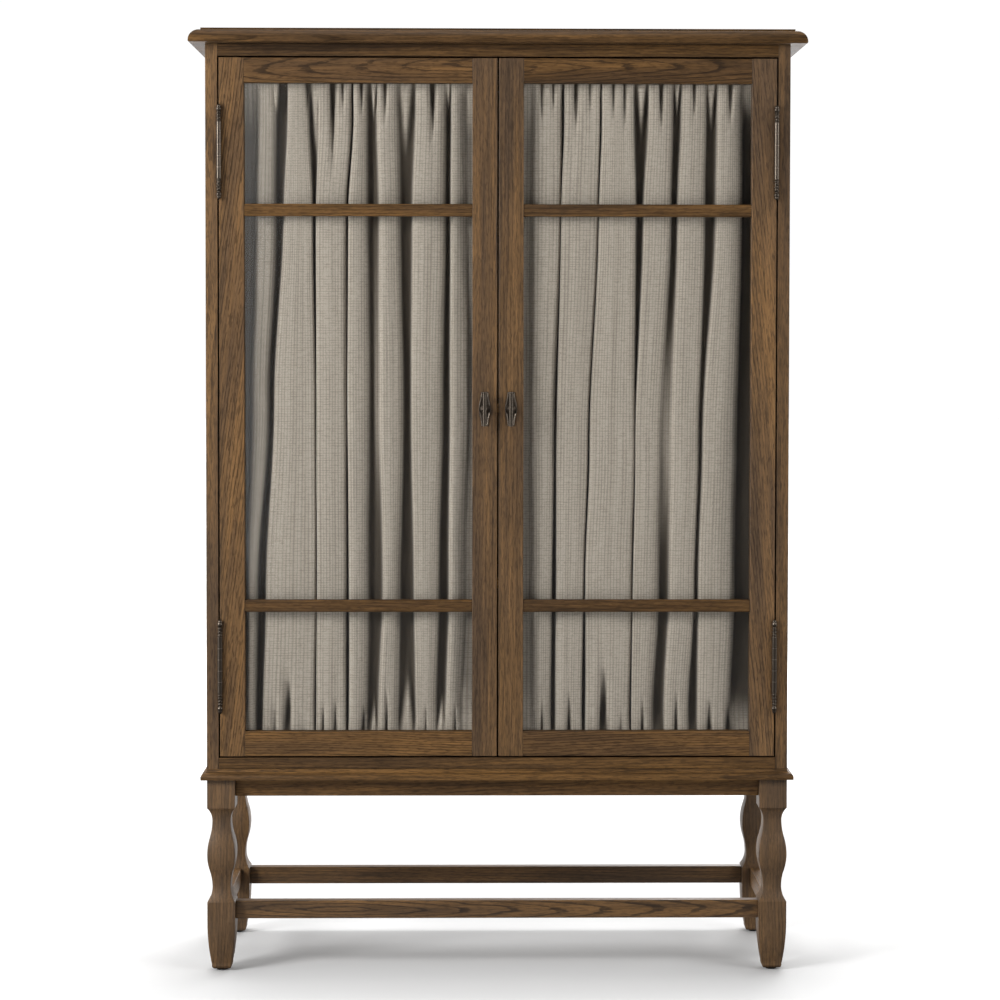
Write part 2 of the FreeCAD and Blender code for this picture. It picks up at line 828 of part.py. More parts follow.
def leg_outline():
    """One side of the wave leg, outward from its middle, from the top down."""
    block = leg_size / 2
    neck = block - neck_inset
    foot = block - foot_inset
    turn = (neck + block) / 2
    upper_turn = (upper_neck_height + swell_height) / 2
    lower_turn = (swell_height + lower_neck_height) / 2
    round_share = 1 - diagonal_share
    sole_middle = (foot - foot_round_width * round_share,
                   glide_height + (foot_height - glide_height) * round_share)

    def downward(arc):
        return tuple(reversed(arc))

    return [
        ((block, leg_top), (block, upper_shoulder_height)),
        downward(arc_from_upright((neck, upper_neck_height), (block, upper_shoulder_height))),
        arc_from_upright((neck, upper_neck_height), (turn, upper_turn)),
        downward(arc_from_upright((block, swell_height), (turn, upper_turn))),
        arc_from_upright((block, swell_height), (turn, lower_turn)),
        downward(arc_from_upright((neck, lower_neck_height), (turn, lower_turn))),
        arc_from_upright((neck, lower_neck_height), (block, lower_shoulder_height)),
        ((block, lower_shoulder_height), (block, taper_top_height)),
        arc_from_upright((block, taper_top_height), (foot, foot_height)),
        ((foot, foot_height), sole_middle, (foot - foot_round_width, glide_height)),
    ]


def wave_leg():
    """A leg sawn to the same wave on all four sides, about the vertical through its middle."""
    return crossed_prisms(leg_outline(), 0, 0, 0, False)


leg_x = half_case - leg_size / 2
leg_front_y = front_y + leg_size / 2
leg_back_y = back_y - leg_size / 2
stretcher_low = lower_shoulder_height - stretcher_height
apron_low = leg_top - apron_height


def frame_bar(y, z_low, z_high, thickness, end_gap):
    """A bar along X between two legs: its body and its tenons."""
    inner_x = leg_x - leg_size / 2
    half = thickness / 2
    body = box(-inner_x, inner_x, y - half, y + half, z_low, z_high)
    half_tenon = leg_tenon_thickness / 2
    length = leg_tenon_length + end_gap
    tenon = box(inner_x, inner_x + length, y - half_tenon, y + half_tenon,
                z_low + leg_tenon_shoulder, z_high - leg_tenon_shoulder)
    return body, [tenon, mirrored(tenon)]


def frame_side_bar(x, z_low, z_high, thickness, end_gap):
    """A bar along Y between a front and a back leg: its body and its tenons."""
    front = leg_front_y + leg_size / 2
    back = leg_back_y - leg_size / 2
    half = thickness / 2
    body = box(x - half, x + half, front, back, z_low, z_high)
    half_tenon = leg_tenon_thickness / 2
    length = leg_tenon_length + end_gap
    tenons = [box(x - half_tenon, x + half_tenon, low, low + length,
                  z_low + leg_tenon_shoulder, z_high - leg_tenon_shoulder)
              for low in (front - length, back)]
    return body, tenons


def frame_bars(end_gap):
    """Every apron and stretcher, by name, as a body and its tenons."""
    spans = {
        "apron": (apron_low, leg_top, apron_thickness),
        "stretcher": (stretcher_low, lower_shoulder_height, stretcher_thickness),
    }
    bars = {}
    for kind, span in spans.items():
        bars[kind + "_front"] = frame_bar(leg_front_y, *span, end_gap)
        bars[kind + "_back"] = frame_bar(leg_back_y, *span, end_gap)
        bars[kind + "_left"] = frame_side_bar(-leg_x, *span, end_gap)
        bars[kind + "_right"] = frame_side_bar(leg_x, *span, end_gap)
    return bars


def leg_places():
    """The middle of each leg, by name."""
    return {
        "leg_front_left": (-leg_x, leg_front_y),
        "leg_front_right": (leg_x, leg_front_y),
        "leg_back_left": (-leg_x, leg_back_y),
        "leg_back_right": (leg_x, leg_back_y),
    }


def legs():
    """The four legs with their mortises, by name."""
    mortises = []
    for _, tenons in frame_bars(tenon_end_gap).values():
        mortises += tenons
    pattern = wave_leg()
    shapes = {}
    for name, (x, y) in leg_places().items():
        leg = pattern.copy()
        leg.translate(V(x, y, 0))
        near = [mortise for mortise in mortises if mortise.BoundBox.intersect(leg.BoundBox)]
        shapes[name] = leg.cut(near)
    return shapes


def glides():
    """A round glide under each leg."""
    return Part.makeCompound([rod(V(x, y, 0), V(0, 0, 1), glide_radius, glide_height)
                              for x, y in leg_places().values()])


def corner_blocks():
    """Glued blocks behind each leg, notched round it, against both aprons."""
    apron_face = apron_thickness / 2
    leg_face = leg_size / 2
    outline = [
        (leg_face, apron_face), (leg_face + corner_block_reach, apron_face),
        (apron_face, leg_face + corner_block_reach), (apron_face, leg_face),
        (leg_face, leg_face),
    ]
    blocks = []
    for x, y in leg_places().values():
        toward_x = -math.copysign(1, x)
        toward_y = 1 if y == leg_front_y else -1
        points = [V(x + toward_x * across, y + toward_y * along, leg_top - corner_block_height)
                  for across, along in outline]
        face = Part.Face(Part.makePolygon(points + points[:1]))
        blocks.append(face.extrude(V(0, 0, corner_block_height)))
    return Part.makeCompound(blocks)


def door_pieces(fold_shares):
    """The pieces of the left door, by name; only the curtain differs between the doors."""
    return {
        "hinge_stile": hinge_stile(),
        "meeting_stile": meeting_stile(),
        "top_rail": door_rail(rail_spans[1]),
        "bottom_rail": door_rail(rail_spans[0]),
        "upper_bar": glazing_bar(bar_levels[1]),
        "lower_bar": glazing_bar(bar_levels[0]),
        "glass": glass(),
        "glazing_beads": glazing_beads(),
        "curtain": curtain(fold_shares),
        "curtain_rods": curtain_rods(),
        "rod_brackets": rod_brackets(),
        "hinge_leaves": door_hinge_leaves(),
        "pull": pull(),
        "pull_plate": pull_plate(),
        "strike_plate": strike_plate(),
    }


def cabinet_pieces():
    """Every node of the cabinet, by name."""
    left_side = side_panel_left()
    pieces = {
        "top_board": top_board(),
        "base_board": base_board(),
        "side_panel_left": left_side,
        "side_panel_right": mirrored(left_side),
        "case_top_rail": case_top_rail(),
        "case_bottom_rail": case_bottom_rail(),
        "case_back_rail": case_back_rail(),
        "case_floor": case_floor(),
        "back_panel": back_panel(),
        "shelf_cleats": shelf_cleats(),
        "hinge_case_leaves": hinge_case_leaves(),
        "door_catches": door_catches(),
        "glides": glides(),
        "corner_blocks": corner_blocks(),
    }
    for name, underside in zip(("shelf_lower", "shelf_middle", "shelf_upper"),
                               shelf_undersides()):
        pieces[name] = shelf(underside)
    for name, (body, tenons) in frame_bars(0).items():
        pieces[name] = body.fuse(tenons)
    pieces.update(legs())
    for name, shape in door_pieces(left_fold_shares).items():
        pieces["left_door_" + name] = shape
    for name, shape in door_pieces(right_fold_shares).items():
        pieces["right_door_" + name] = mirrored(shape)
    return pieces


os.makedirs("parts", exist_ok=True)
for node, shape in cabinet_pieces().items():
    shape.exportStep("parts/" + node + ".step")
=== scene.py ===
import json
import math
import random
from dataclasses import dataclass

import bmesh
import bpy
from mathutils import Matrix, Vector, noise


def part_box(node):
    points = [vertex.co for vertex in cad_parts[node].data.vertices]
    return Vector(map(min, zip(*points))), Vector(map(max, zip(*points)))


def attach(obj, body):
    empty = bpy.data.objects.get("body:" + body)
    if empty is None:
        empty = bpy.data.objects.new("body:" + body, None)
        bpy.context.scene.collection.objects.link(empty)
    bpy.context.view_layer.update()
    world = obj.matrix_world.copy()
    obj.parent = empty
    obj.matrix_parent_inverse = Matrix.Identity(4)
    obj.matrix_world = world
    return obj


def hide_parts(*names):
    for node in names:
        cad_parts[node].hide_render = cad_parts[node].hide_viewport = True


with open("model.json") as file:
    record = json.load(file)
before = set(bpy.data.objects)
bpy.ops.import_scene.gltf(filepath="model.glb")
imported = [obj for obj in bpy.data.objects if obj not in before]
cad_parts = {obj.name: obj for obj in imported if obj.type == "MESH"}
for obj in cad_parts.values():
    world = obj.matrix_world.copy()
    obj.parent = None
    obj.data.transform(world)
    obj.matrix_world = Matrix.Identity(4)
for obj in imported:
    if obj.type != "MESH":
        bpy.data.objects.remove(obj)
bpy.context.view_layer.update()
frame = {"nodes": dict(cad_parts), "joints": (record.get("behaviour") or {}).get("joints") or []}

nodes = frame["nodes"]
mm = 0.001
sides = {"left": -1, "right": 1}

# Places that the frame gives
hinge_axis = {joint["child"]: Vector(joint["pos_m"]) for joint in frame["joints"]}
door_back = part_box("left_door_top_rail")[1].y
opening_outer = -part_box("left_door_hinge_stile")[1].x
opening_inner = -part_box("left_door_meeting_stile")[0].x
opening_width = opening_outer - opening_inner


# Camera and light

def make_camera():
    """The photograph's viewpoint: nearly level, with the lens shifted down."""
    place = Vector((-0.0409, -5.170, 1.2570))
    yaw, pitch, roll = 0.01416, 0.0350, 0.00143
    focal_pixels, frame_pixels, sensor_mm = 2585.9, 1000, 36
    centre_across, centre_down = 513.33, 416.76
    right = Vector((math.cos(yaw), -math.sin(yaw), 0))
    ahead = Vector((math.sin(yaw), math.cos(yaw), 0))
    up = Vector((0, 0, 1))
    view = ahead * math.cos(pitch) - up * math.sin(pitch)
    up = up * math.cos(pitch) + ahead * math.sin(pitch)
    across = right * math.cos(roll) + up * math.sin(roll)
    upward = up * math.cos(roll) - right * math.sin(roll)
    data = bpy.data.cameras.new("camera")
    data.sensor_width = sensor_mm
    data.lens = focal_pixels / frame_pixels * sensor_mm
    data.shift_x = 0.5 - centre_across / frame_pixels
    data.shift_y = centre_down / frame_pixels - 0.5
    camera = bpy.data.objects.new("camera", data)
    bpy.context.scene.collection.objects.link(camera)
    turn = Matrix((across, upward, -view)).transposed()
    camera.matrix_world = Matrix.Translation(place) @ turn.to_4x4()
    bpy.context.scene.camera = camera


def area_light(name, place, target, size, power, colour=(1, 1, 1)):
    """A soft rectangular light: size is its width and height in metres, power is in watts."""
    data = bpy.data.lights.new(name, "AREA")
    data.shape = "RECTANGLE"
    data.size, data.size_y = size
    data.energy = power
    data.color = colour
    lamp = bpy.data.objects.new(name, data)
    bpy.context.scene.collection.objects.link(lamp)
    lamp.location = place
    lamp.rotation_mode = "QUATERNION"
    lamp.rotation_quaternion = (Vector(target) - Vector(place)).to_track_quat("-Z", "Y")


def make_lamps():
    """Soft boxes and strips round the cabinet, a cool card behind the camera that the left pane
    mirrors, and a ceiling light that draws the shadow on the floor."""
    middle = (0, 0, 0.95)
    area_light("soft_box_left", (-3.9, -2.7, 2.6), middle, (1.6, 1.8), 240)
    area_light("soft_box_right", (4.0, -2.4, 2.4), middle, (1.8, 1.8), 92)
    area_light("strip_left", (-4.4, -0.9, 1.4), middle, (1.2, 2.6), 46)
    area_light("strip_right", (4.4, -0.9, 1.4), middle, (1.2, 2.6), 24)
    card_x, card_z = -2.11, 1.2
    cool_white = (0.95, 0.97, 1.0)
    area_light("card_front", (card_x, -8.0, card_z), (card_x, 0, card_z), (1.9, 3.2), 28,
               cool_white)
    area_light("soft_box_back", (1.5, 4.2, 2.4), middle, (2.4, 2.4), 110)
    ceiling = bpy.data.lights.new("ceiling", "SUN")
    ceiling.energy = 2.2
    ceiling.angle = math.radians(11)
    lamp = bpy.data.objects.new("ceiling", ceiling)
    bpy.context.scene.collection.objects.link(lamp)
    lamp.rotation_euler = (math.radians(-4), 0, 0)


# Material nodes

class Shading:
    """A node tree, with short calls that add a node and give back its output."""

    def __init__(self, tree):
        self.tree = tree
        tree.nodes.clear()

    def feed(self, socket, value):
        if isinstance(value, bpy.types.NodeSocket):
            self.tree.links.new(value, socket)
        else:
            socket.default_value = value

    def add(self, kind, inputs, **settings):
        node = self.tree.nodes.new("ShaderNode" + kind)
        for key, value in settings.items():
            setattr(node, key, value)
        for key, value in inputs.items():
            self.feed(node.inputs[key], value)
        return node

    def math(self, operation, *values):
        return self.add("Math", dict(enumerate(values)), operation=operation).outputs[0]

    def plus(self, value, factor, base):
        """base plus factor times value."""
        return self.math("MULTIPLY_ADD", value, factor, base)

    def times(self, first, second):
        return self.math("MULTIPLY", first, second)

    def vector(self, operation, *values):
        node = self.add("VectorMath", dict(enumerate(values)), operation=operation)
        return node.outputs["Value" if operation in ("LENGTH", "DOT_PRODUCT") else "Vector"]

    def split(self, place):
        return self.add("SeparateXYZ", {0: place}).outputs

    def noise(self, place, stretch, detail=2.0, roughness=0.5):
        """Noise whose cells are one over stretch metres long on each axis."""
        scaled = self.vector("MULTIPLY", place, stretch)
        node = self.add("TexNoise", {"Vector": scaled, "Scale": 1.0, "Detail": detail,
                                     "Roughness": roughness})
        return node.outputs["Fac"]

    def waves(self, place, direction, scale, distortion, detail=2.0, detail_scale=1.0):
        """Even bands that follow each other along one axis."""
        inputs = {"Vector": place, "Scale": scale, "Distortion": distortion, "Detail": detail,
                  "Detail Scale": detail_scale}
        return self.add("TexWave", inputs, bands_direction=direction).outputs["Fac"]

    def step(self, value, low, high, first=0.0, last=1.0):
        """A smooth step from first to last as value goes from low to high."""
        node = self.add("MapRange", {"Value": value, "From Min": low, "From Max": high,
                                     "To Min": first, "To Max": last},
                        interpolation_type="SMOOTHSTEP")
        return node.outputs[0]

    def mix_colours(self, share, first, second, blend="MIX"):
        """The second colour laid over the first; 6 and 7 are the node's colour sockets."""
        node = self.add("Mix", {0: share, 6: first, 7: second}, data_type="RGBA",
                        blend_type=blend)
        return node.outputs[2]


class Finish(Shading):
    """One procedural material."""

    def __init__(self, name):
        self.material = bpy.data.materials.new(name)
        self.material.use_nodes = True
        super().__init__(self.material.node_tree)

    def place(self):
        return self.add("TexCoord", {}).outputs["Object"]

    def bump(self, height, strength, depth):
        node = self.add("Bump", {"Height": height, "Strength": strength, "Distance": depth})
        return node.outputs[0]

    def surface(self, inputs):
        """The shader, with constant inputs set on its own sockets."""
        shader = self.add("BsdfPrincipled", inputs)
        self.add("OutputMaterial", {"Surface": shader.outputs[0]})
        return self.material


def make_surround():
    """The world: white where the camera sees it. As light it is weak in front and below."""
    world = bpy.data.worlds.new("studio")
    world.use_nodes = True
    made = Shading(world.node_tree)
    seen = made.add("Background", {"Color": (1, 1, 1, 1), "Strength": 1.02})
    way = made.split(made.add("TexCoord", {}).outputs["Generated"])
    from_front = made.step(way["Y"], -0.35, 0.25, 0.10, 1.15)
    from_above = made.step(way["Z"], 0.05, 0.60, 0.40, 1.35)
    lit = made.add("Background", {"Strength": made.times(from_front, from_above)})
    path = made.add("LightPath", {}).outputs
    join = made.add("MixShader", {0: path["Is Camera Ray"], 1: lit.outputs[0],
                                  2: seen.outputs[0]})
    made.add("OutputWorld", {"Surface": join.outputs[0]})
    bpy.context.scene.world = world
    view = bpy.context.scene.view_settings
    view.view_transform = "Standard"
    view.look = "None"


# Wood

grey_brown = {"x": (0.090, 0.050, 0.023, 1), "z": (0.090, 0.053, 0.028, 1)}
gold_brown = {"x": (0.178, 0.091, 0.030, 1), "z": (0.172, 0.092, 0.035, 1)}
# Dark brown of pores and grain marks, also used for the painted shade in creases
pore_and_shade_brown = (0.016, 0.010, 0.006, 1)


@dataclass
class Board:
    """How a wooden node lies and looks."""
    lies: str                # the axis that its grain follows, and its face's other axis
    tone: float              # how light it is
    flat_sawn: float = 0.2   # 0 for straight grain, 1 for wide arches
    stave: float = 0.0       # width of the strips that a wide panel is glued up from
    tilt: float = 0.0        # how far its grain runs across, per metre along
    gloss: float = 0.12      # how strongly its surface mirrors
    grain: float = 0.85      # how strongly its fibres and pores show
    ease: float = 0.9 * mm   # width of its eased edges

    def figured(self):
        return self.flat_sawn > 0.8


def growth_rings(made, board, moved, length, width, depth, draw):
    """How far through its ring a place lies, from 0 to 1. The rings are cylinders round a pith
    that lies beside the board, nearly along its grain."""
    nearest, farthest = 15 * mm, 175 * mm
    pith_across = draw.choice((-1, 1)) * (farthest - (farthest - nearest) * board.flat_sawn)
    shallowest, spread = (16 * mm, 20 * mm) if board.figured() else (35 * mm, 30 * mm)
    pith_behind = shallowest + spread * draw.random()
    slope_across, slope_behind = draw.uniform(-0.03, 0.03), draw.choice((-1, 1)) * 0.055
    wander = made.noise(moved, (1.6, 14, 14), detail=3)
    lateral = made.plus(wander, 30 * mm, made.math("SUBTRACT", width, pith_across))
    lateral = made.plus(length, slope_across, lateral)
    behind = made.plus(length, slope_behind, made.math("ADD", depth, pith_behind))
    squares = made.math("ADD", made.times(lateral, lateral), made.times(behind, behind))
    ripple = made.noise(moved, (9, 90, 90), detail=2)
    radius = made.plus(ripple, 3.5 * mm, made.math("SQRT", squares))
    ring_width = (6.8 - 1.8 * board.flat_sawn) * mm
    return made.math("FRACT", made.math("DIVIDE", radius, ring_width))


def oak(name, board, centre, seed):
    """Stained open-grained oak: flat-sawn boards show arches, and the ends show end grain. Its
    creases and corners get painted shade.
    """
    draw = random.Random(seed)
    made = Finish("oak." + name)
    along, across = board.lies
    off_centre = {}
    for axis, output, middle in zip("xyz", made.split(made.place()), centre):
        off_centre[axis] = made.math("SUBTRACT", output, middle)
    length = off_centre.pop(along)
    width = made.plus(length, -board.tilt, off_centre.pop(across))
    depth = off_centre.popitem()[1]
    shift = draw.uniform(0, 40)
    if board.stave:
        strip = made.math("FLOOR", made.math("DIVIDE", width, board.stave))
        shift = made.plus(strip, 3.7, shift)
    grain = made.add("CombineXYZ", {0: length, 1: width, 2: depth}).outputs[0]
    moved = made.vector("ADD", grain, made.add("CombineXYZ", {0: shift}).outputs[0])

    # Early wood, the porous first part of each ring
    ring = growth_rings(made, board, moved, length, width, depth, draw)
    early = made.math("SUBTRACT", 1.0, made.step(ring, 0.0, 0.45))
    early = made.times(early, made.step(ring, 0.0, 0.05))
    patches = made.noise(moved, (2.5, 30, 30))
    early = made.times(early, made.step(patches, 0.35, 0.65, 0.25, 1.0))

    # Pores, and longer dark dashes along the rings
    pores = made.step(made.noise(moved, (55, 1500, 1500), detail=1), 0.56, 0.70)
    pores = made.times(pores, made.plus(early, 0.65, 0.35))
    if board.figured():
        ring_line = made.times(made.step(ring, 0.0, 0.08), made.step(ring, 0.16, 0.40, 1.0, 0.0))
        drawn = made.plus(ring_line, 0.30, -0.11)
    else:
        drawn = made.times(early, 0.13 + 0.6 * abs(board.tilt))
    dashes = made.noise(moved, (42, 330, 330), detail=2, roughness=0.6)
    dashes = made.step(made.math("ADD", drawn, dashes), 0.56, 0.62)
    dash_share = (0.24 + 0.46 * min(1.0, board.flat_sawn + abs(board.tilt) * 6)) * board.grain
    lines = made.step(made.noise(moved, (60, 520, 520), detail=1), 0.52, 0.62)
    line_share = 0.44 * board.grain
    pore_share = 0.40

    # Fibres, broad streaks and clouds of colour
    fibres = made.noise(moved, (13, 330, 330), detail=3, roughness=0.7)
    streaks = made.noise(moved, (2.2, 75, 75), detail=3, roughness=0.6)
    clouds = made.noise(moved, (1.3, 9, 9), detail=2)
    warm = made.step(made.plus(clouds, 0.6, made.times(streaks, 0.4)), 0.36, 0.64)
    tint = "z" if along == "z" else "x"
    colour = made.mix_colours(warm, grey_brown[tint], gold_brown[tint])
    fibre_share, streak_share = 1.35 * board.grain, 0.5
    shade = made.plus(made.math("SUBTRACT", fibres, 0.5), fibre_share, board.tone)
    shade = made.plus(made.math("SUBTRACT", streaks, 0.5), streak_share, shade)
    shade = made.times(shade, made.plus(early, -0.5, 1.10))
    shade = made.add("CombineColor", {0: shade, 1: shade, 2: shade}).outputs[0]
    colour = made.mix_colours(1.0, colour, shade, "MULTIPLY")
    for marks, share in ((dashes, dash_share), (lines, line_share), (pores, pore_share)):
        colour = made.mix_colours(made.times(marks, share), colour, pore_and_shade_brown)

    # Painted shade: the colour darkens towards brown in creases and corners, where ambient
    # occlusion finds the surface closed in
    openness = made.add("AmbientOcclusion", {"Distance": 6 * mm}, samples=4).outputs["AO"]
    colour = made.mix_colours(made.step(openness, 0.30, 0.92, 0.60, 0.0), colour, pore_and_shade_brown)
    rough = made.plus(pores, 0.22, made.step(fibres, 0.3, 0.7, 0.42, 0.54))
    height = made.math("SUBTRACT", made.times(fibres, 0.35), pores)
    return made.surface({"Base Color": colour, "Roughness": rough,
                         "Specular IOR Level": board.gloss,
                         "Normal": made.bump(height, 0.35, 0.35 * mm)})


# Other finishes

def linen(name, shaded):
    """Loosely woven oatmeal cloth with uneven dark threads. Its map is in metres of cloth.
    On the shaded side, painted shade browns the cloth where its folds run back."""
    made = Finish(name)
    place = made.add("UVMap", {}, uv_map="cloth").outputs[0]
    pale = (0.416, 0.368, 0.310, 1)
    dark = (0.150, 0.125, 0.098, 1)
    valley_shade_brown = (0.055, 0.043, 0.031, 1)
    warp = made.noise(place, (280, 3.0, 1), detail=3, roughness=0.8)
    weft = made.noise(place, (60, 330, 1), detail=2, roughness=0.7)
    slub = made.noise(place, (24, 900, 1), detail=1)
    broad = made.noise(place, (90, 0.8, 1), detail=2)
    unevenness = 3.6
    stripe = made.plus(warp, unevenness, made.waves(place, "X", 54.0, 1.6, detail_scale=3.0))
    cross = made.plus(weft, unevenness, made.waves(place, "Y", 66.0, 1.2, detail_scale=3.0))
    colour = pale
    for marks in (made.times(made.step(stripe, 2.20, 2.90), 0.46),
                  made.times(made.step(cross, 2.30, 3.00), 0.38),
                  made.step(slub, 0.60, 0.74, 0.0, 0.20), made.step(broad, 0.45, 0.65, 0.0, 0.16)):
        colour = made.mix_colours(marks, colour, dark)
    # Painted shade: the deeper the cloth runs back, the browner it is
    if shaded:
        fold = made.add("Attribute", {}, attribute_name="fold").outputs["Fac"]
        colour = made.mix_colours(made.step(fold, 0.16, 0.85), colour, valley_shade_brown)
    threads = [made.waves(place, direction, 420.0, 0.6, detail=1.0) for direction in "XY"]
    weave = made.math("MAXIMUM", *threads)
    return made.surface({"Base Color": colour, "Roughness": 0.92, "Specular IOR Level": 0.25,
                         "Sheen Weight": 0.12, "Sheen Roughness": 0.5,
                         "Normal": made.bump(weave, 0.35, 0.25 * mm)})


def clear_glass():
    """A thin pane: it passes light straight through and mirrors a little at its surface."""
    made = Finish("glass")
    smear = made.noise(made.place(), (7, 7, 3), detail=3)
    pane = made.add("BsdfTransparent", {"Color": (0.985, 0.988, 0.985, 1)})
    gloss = made.add("BsdfGlossy", {"Color": (1, 1, 1, 1),
                                    "Roughness": made.step(smear, 0.4, 0.7, 0.07, 0.11)})
    facing = made.add("LayerWeight", {"Blend": 0.5}).outputs["Facing"]
    head_on, grazing = 0.030, 0.60
    mirrored = made.plus(made.math("POWER", facing, 5.0), grazing, head_on)
    join = made.add("MixShader", {0: mirrored, 1: pane.outputs[0], 2: gloss.outputs[0]})
    made.add("OutputMaterial", {"Surface": join.outputs[0]})
    return made.material


def metal(name, dark, bright, wear_and_highlight, roughness):
    """Cast or drawn metal: a dark patina that is brightened along its edges, partly as rubbed wear
    and partly as a painted highlight.
    """
    made = Finish(name)
    place = made.place()
    rounded = made.add("Bevel", {"Radius": 0.8 * mm}, samples=6).outputs[0]
    flat = made.add("NewGeometry", {}).outputs["Normal"]
    # Painted highlight and wear: edges, found by the bevel's bent normals, are brightened
    edges = made.step(made.vector("DOT_PRODUCT", rounded, flat), 0.80, 0.99, 1.0, 0.0)
    mottle = made.noise(place, (260, 260, 180), detail=4, roughness=0.6)
    spots = made.step(mottle, 0.50, 0.80, 0.0, 0.10 * wear_and_highlight)
    worn_and_highlit = made.math("ADD", made.times(edges, wear_and_highlight), spots)
    grime = made.noise(place, (900, 900, 900), detail=2)
    return made.surface({"Base Color": made.mix_colours(worn_and_highlit, dark, bright), "Metallic": 0.9,
                         "Roughness": made.plus(grime, 0.16, roughness),
                         "Normal": made.bump(grime, 0.06, 0.1 * mm)})


def plastic(name, colour, roughness):
    """Moulded plastic with a fine spark-eroded grain."""
    made = Finish(name)
    place = made.place()
    grain = made.noise(place, (1500, 1500, 1500), detail=2)
    tint = made.noise(place, (40, 40, 40), detail=2)
    lighter = tuple(min(1.0, c * 1.5 + 0.01) for c in colour) + (1,)
    shade = made.mix_colours(tint, (*colour, 1), lighter)
    return made.surface({"Base Color": shade, "Roughness": made.plus(grain, 0.15, roughness),
                         "Normal": made.bump(grain, 0.25, 0.1 * mm)})


def floor_paint():
    """Matt white. It is duller near the cabinet, painted shade that deepens the cabinet's shadow
    there, and darker in mirrored and bounced light, so that it doesn't light the wood from below
    or show in the panes."""
    made = Finish("floor_paint")
    place = made.place()
    speck = made.noise(place, (3, 3, 3), detail=2)
    shade = made.mix_colours(speck, (0.93, 0.93, 0.93, 1), (0.95, 0.95, 0.95, 1))
    # Painted shade: a duller pool of floor round the cabinet deepens its shadow
    away = made.step(made.vector("LENGTH", place), 1.2, 3.2)
    shade = made.mix_colours(away, (0.55, 0.55, 0.55, 1), shade)
    path = made.add("LightPath", {}).outputs
    in_front = made.step(made.split(place)["Y"], -0.2, 0.4, 0.95, 0.0)
    bounced = made.times(path["Is Diffuse Ray"], 0.36)
    bounced = made.plus(path["Is Glossy Ray"], in_front, bounced)
    shade = made.mix_colours(bounced, shade, (0.02, 0.02, 0.02, 1))
    return made.surface({"Base Color": shade, "Roughness": 0.9, "Specular IOR Level": 0.1})


# Mesh helpers

def new_piece(name, mesh, body, material):
    """An object of that mesh, riding on a body."""
    made = bpy.data.objects.new(name, mesh)
    bpy.context.scene.collection.objects.link(made)
    made.data.materials.append(material)
    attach(made, body)
    return made


def mesh_of(name, bm):
    """The finished mesh of a bmesh, with its faces turned outwards."""
    bmesh.ops.recalc_face_normals(bm, faces=bm.faces)
    mesh = bpy.data.meshes.new(name)
    bm.to_mesh(mesh)
    bm.free()
    return mesh


def smooth(made, angle):
    """Smooth shading, with edges sharper than angle kept crisp."""
    for face in made.data.polygons:
        face.use_smooth = True
    made.data.set_sharp_from_angle(angle=angle)


def soften(node, width):
    """Weld a CAD node's facets and ease its sharp edges, by modifiers."""
    made = nodes[node]
    weld = made.modifiers.new("weld", "WELD")
    weld.merge_threshold = 0.002 * mm
    flat = made.modifiers.new("flat", "DECIMATE")
    flat.decimate_type = "DISSOLVE"
    flat.angle_limit = math.radians(0.5)
    ease = made.modifiers.new("ease", "BEVEL")
    ease.width = width
    ease.segments = 2
    ease.limit_method = "ANGLE"
    ease.angle_limit = math.radians(40)
    ease.use_clamp_overlap = True
    ease.miter_outer = "MITER_ARC"


def close_up(bm, rings):
    """A closed skin over a row of rings of points."""
    for first, last in zip(rings, rings[1:]):
        for k in range(len(first)):
            after = (k + 1) % len(first)
            bm.faces.new((first[k], first[after], last[after], last[k]))
    bm.faces.new(list(reversed(rings[0])))
    bm.faces.new(rings[-1])


def turned(bm, profile, centre, segments=48):
    """A turned solid: profile is (height, radius) from the bottom up, closed at both ends."""
    rings = []
    for height, radius in profile:
        ring = []
        for k in range(segments):
            angle = 2 * math.pi * k / segments
            ring.append(bm.verts.new(centre + Vector((radius * math.cos(angle),
                                                      radius * math.sin(angle), height))))
        rings.append(ring)
    close_up(bm, rings)


def prism(bm, outline, reach):
    """The closed solid that an outline of points sweeps as it moves by reach."""
    close_up(bm, [[bm.verts.new(point + move) for point in outline]
                  for move in (Vector(), reach)])


def arc(place, radius, side_way, other_way, angles):
    """Points round a place at those angles, from side_way towards other_way."""
    return [place + (side_way * math.cos(angle) + other_way * math.sin(angle)) * radius
            for angle in angles]


def slotted_head(bm, place, way, radius, turn):
    """A countersunk screw head, just proud of its surface, with a slot at the angle turn."""
    way = Vector(way)
    side_way = way.orthogonal().normalized()
    other_way = way.cross(side_way)
    proud, sunk, slot_deep, slot_share = 0.25 * mm, 0.5 * mm, 0.45 * mm, 0.17
    core_sunk, core_share = sunk * 1.5, 0.94
    steps = 12
    angles = [math.pi * k / steps for k in range(2 * steps)]
    rim = arc(place - way * core_sunk, radius * core_share, side_way, other_way, angles)
    prism(bm, rim, way * (core_sunk + proud - slot_deep))
    half_slot = math.asin(slot_share)
    for half in (0, math.pi):
        angles = [turn + half + half_slot + (math.pi - 2 * half_slot) * k / steps
                  for k in range(steps + 1)]
        prism(bm, arc(place - way * sunk, radius, side_way, other_way, angles),
              way * (sunk + proud))


def screws(name, body, places, radius, material):
    """A set of screw heads as one piece: places are (point, way out of the surface)."""
    draw = random.Random(len(places) * 7 + round(radius / mm * 10))
    bm = bmesh.new()
    for place, way in places:
        slotted_head(bm, Vector(place), way, radius, draw.uniform(0, math.pi))
    new_piece(name, mesh_of(name, bm), body, material)


# Curtains

cloth_front = door_back + 1.7 * mm
cloth_deep = 24.0 * mm
# How far the cloth runs on behind the stiles
side_tuck = 4.5 * mm
rod_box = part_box("left_door_curtain_rods")
rod_radius = (rod_box[1].y - rod_box[0].y) / 2
rod_line = (rod_box[1].y + rod_box[0].y) / 2
rod_low = rod_box[0].z + rod_radius
rod_high = rod_box[1].z - rod_radius

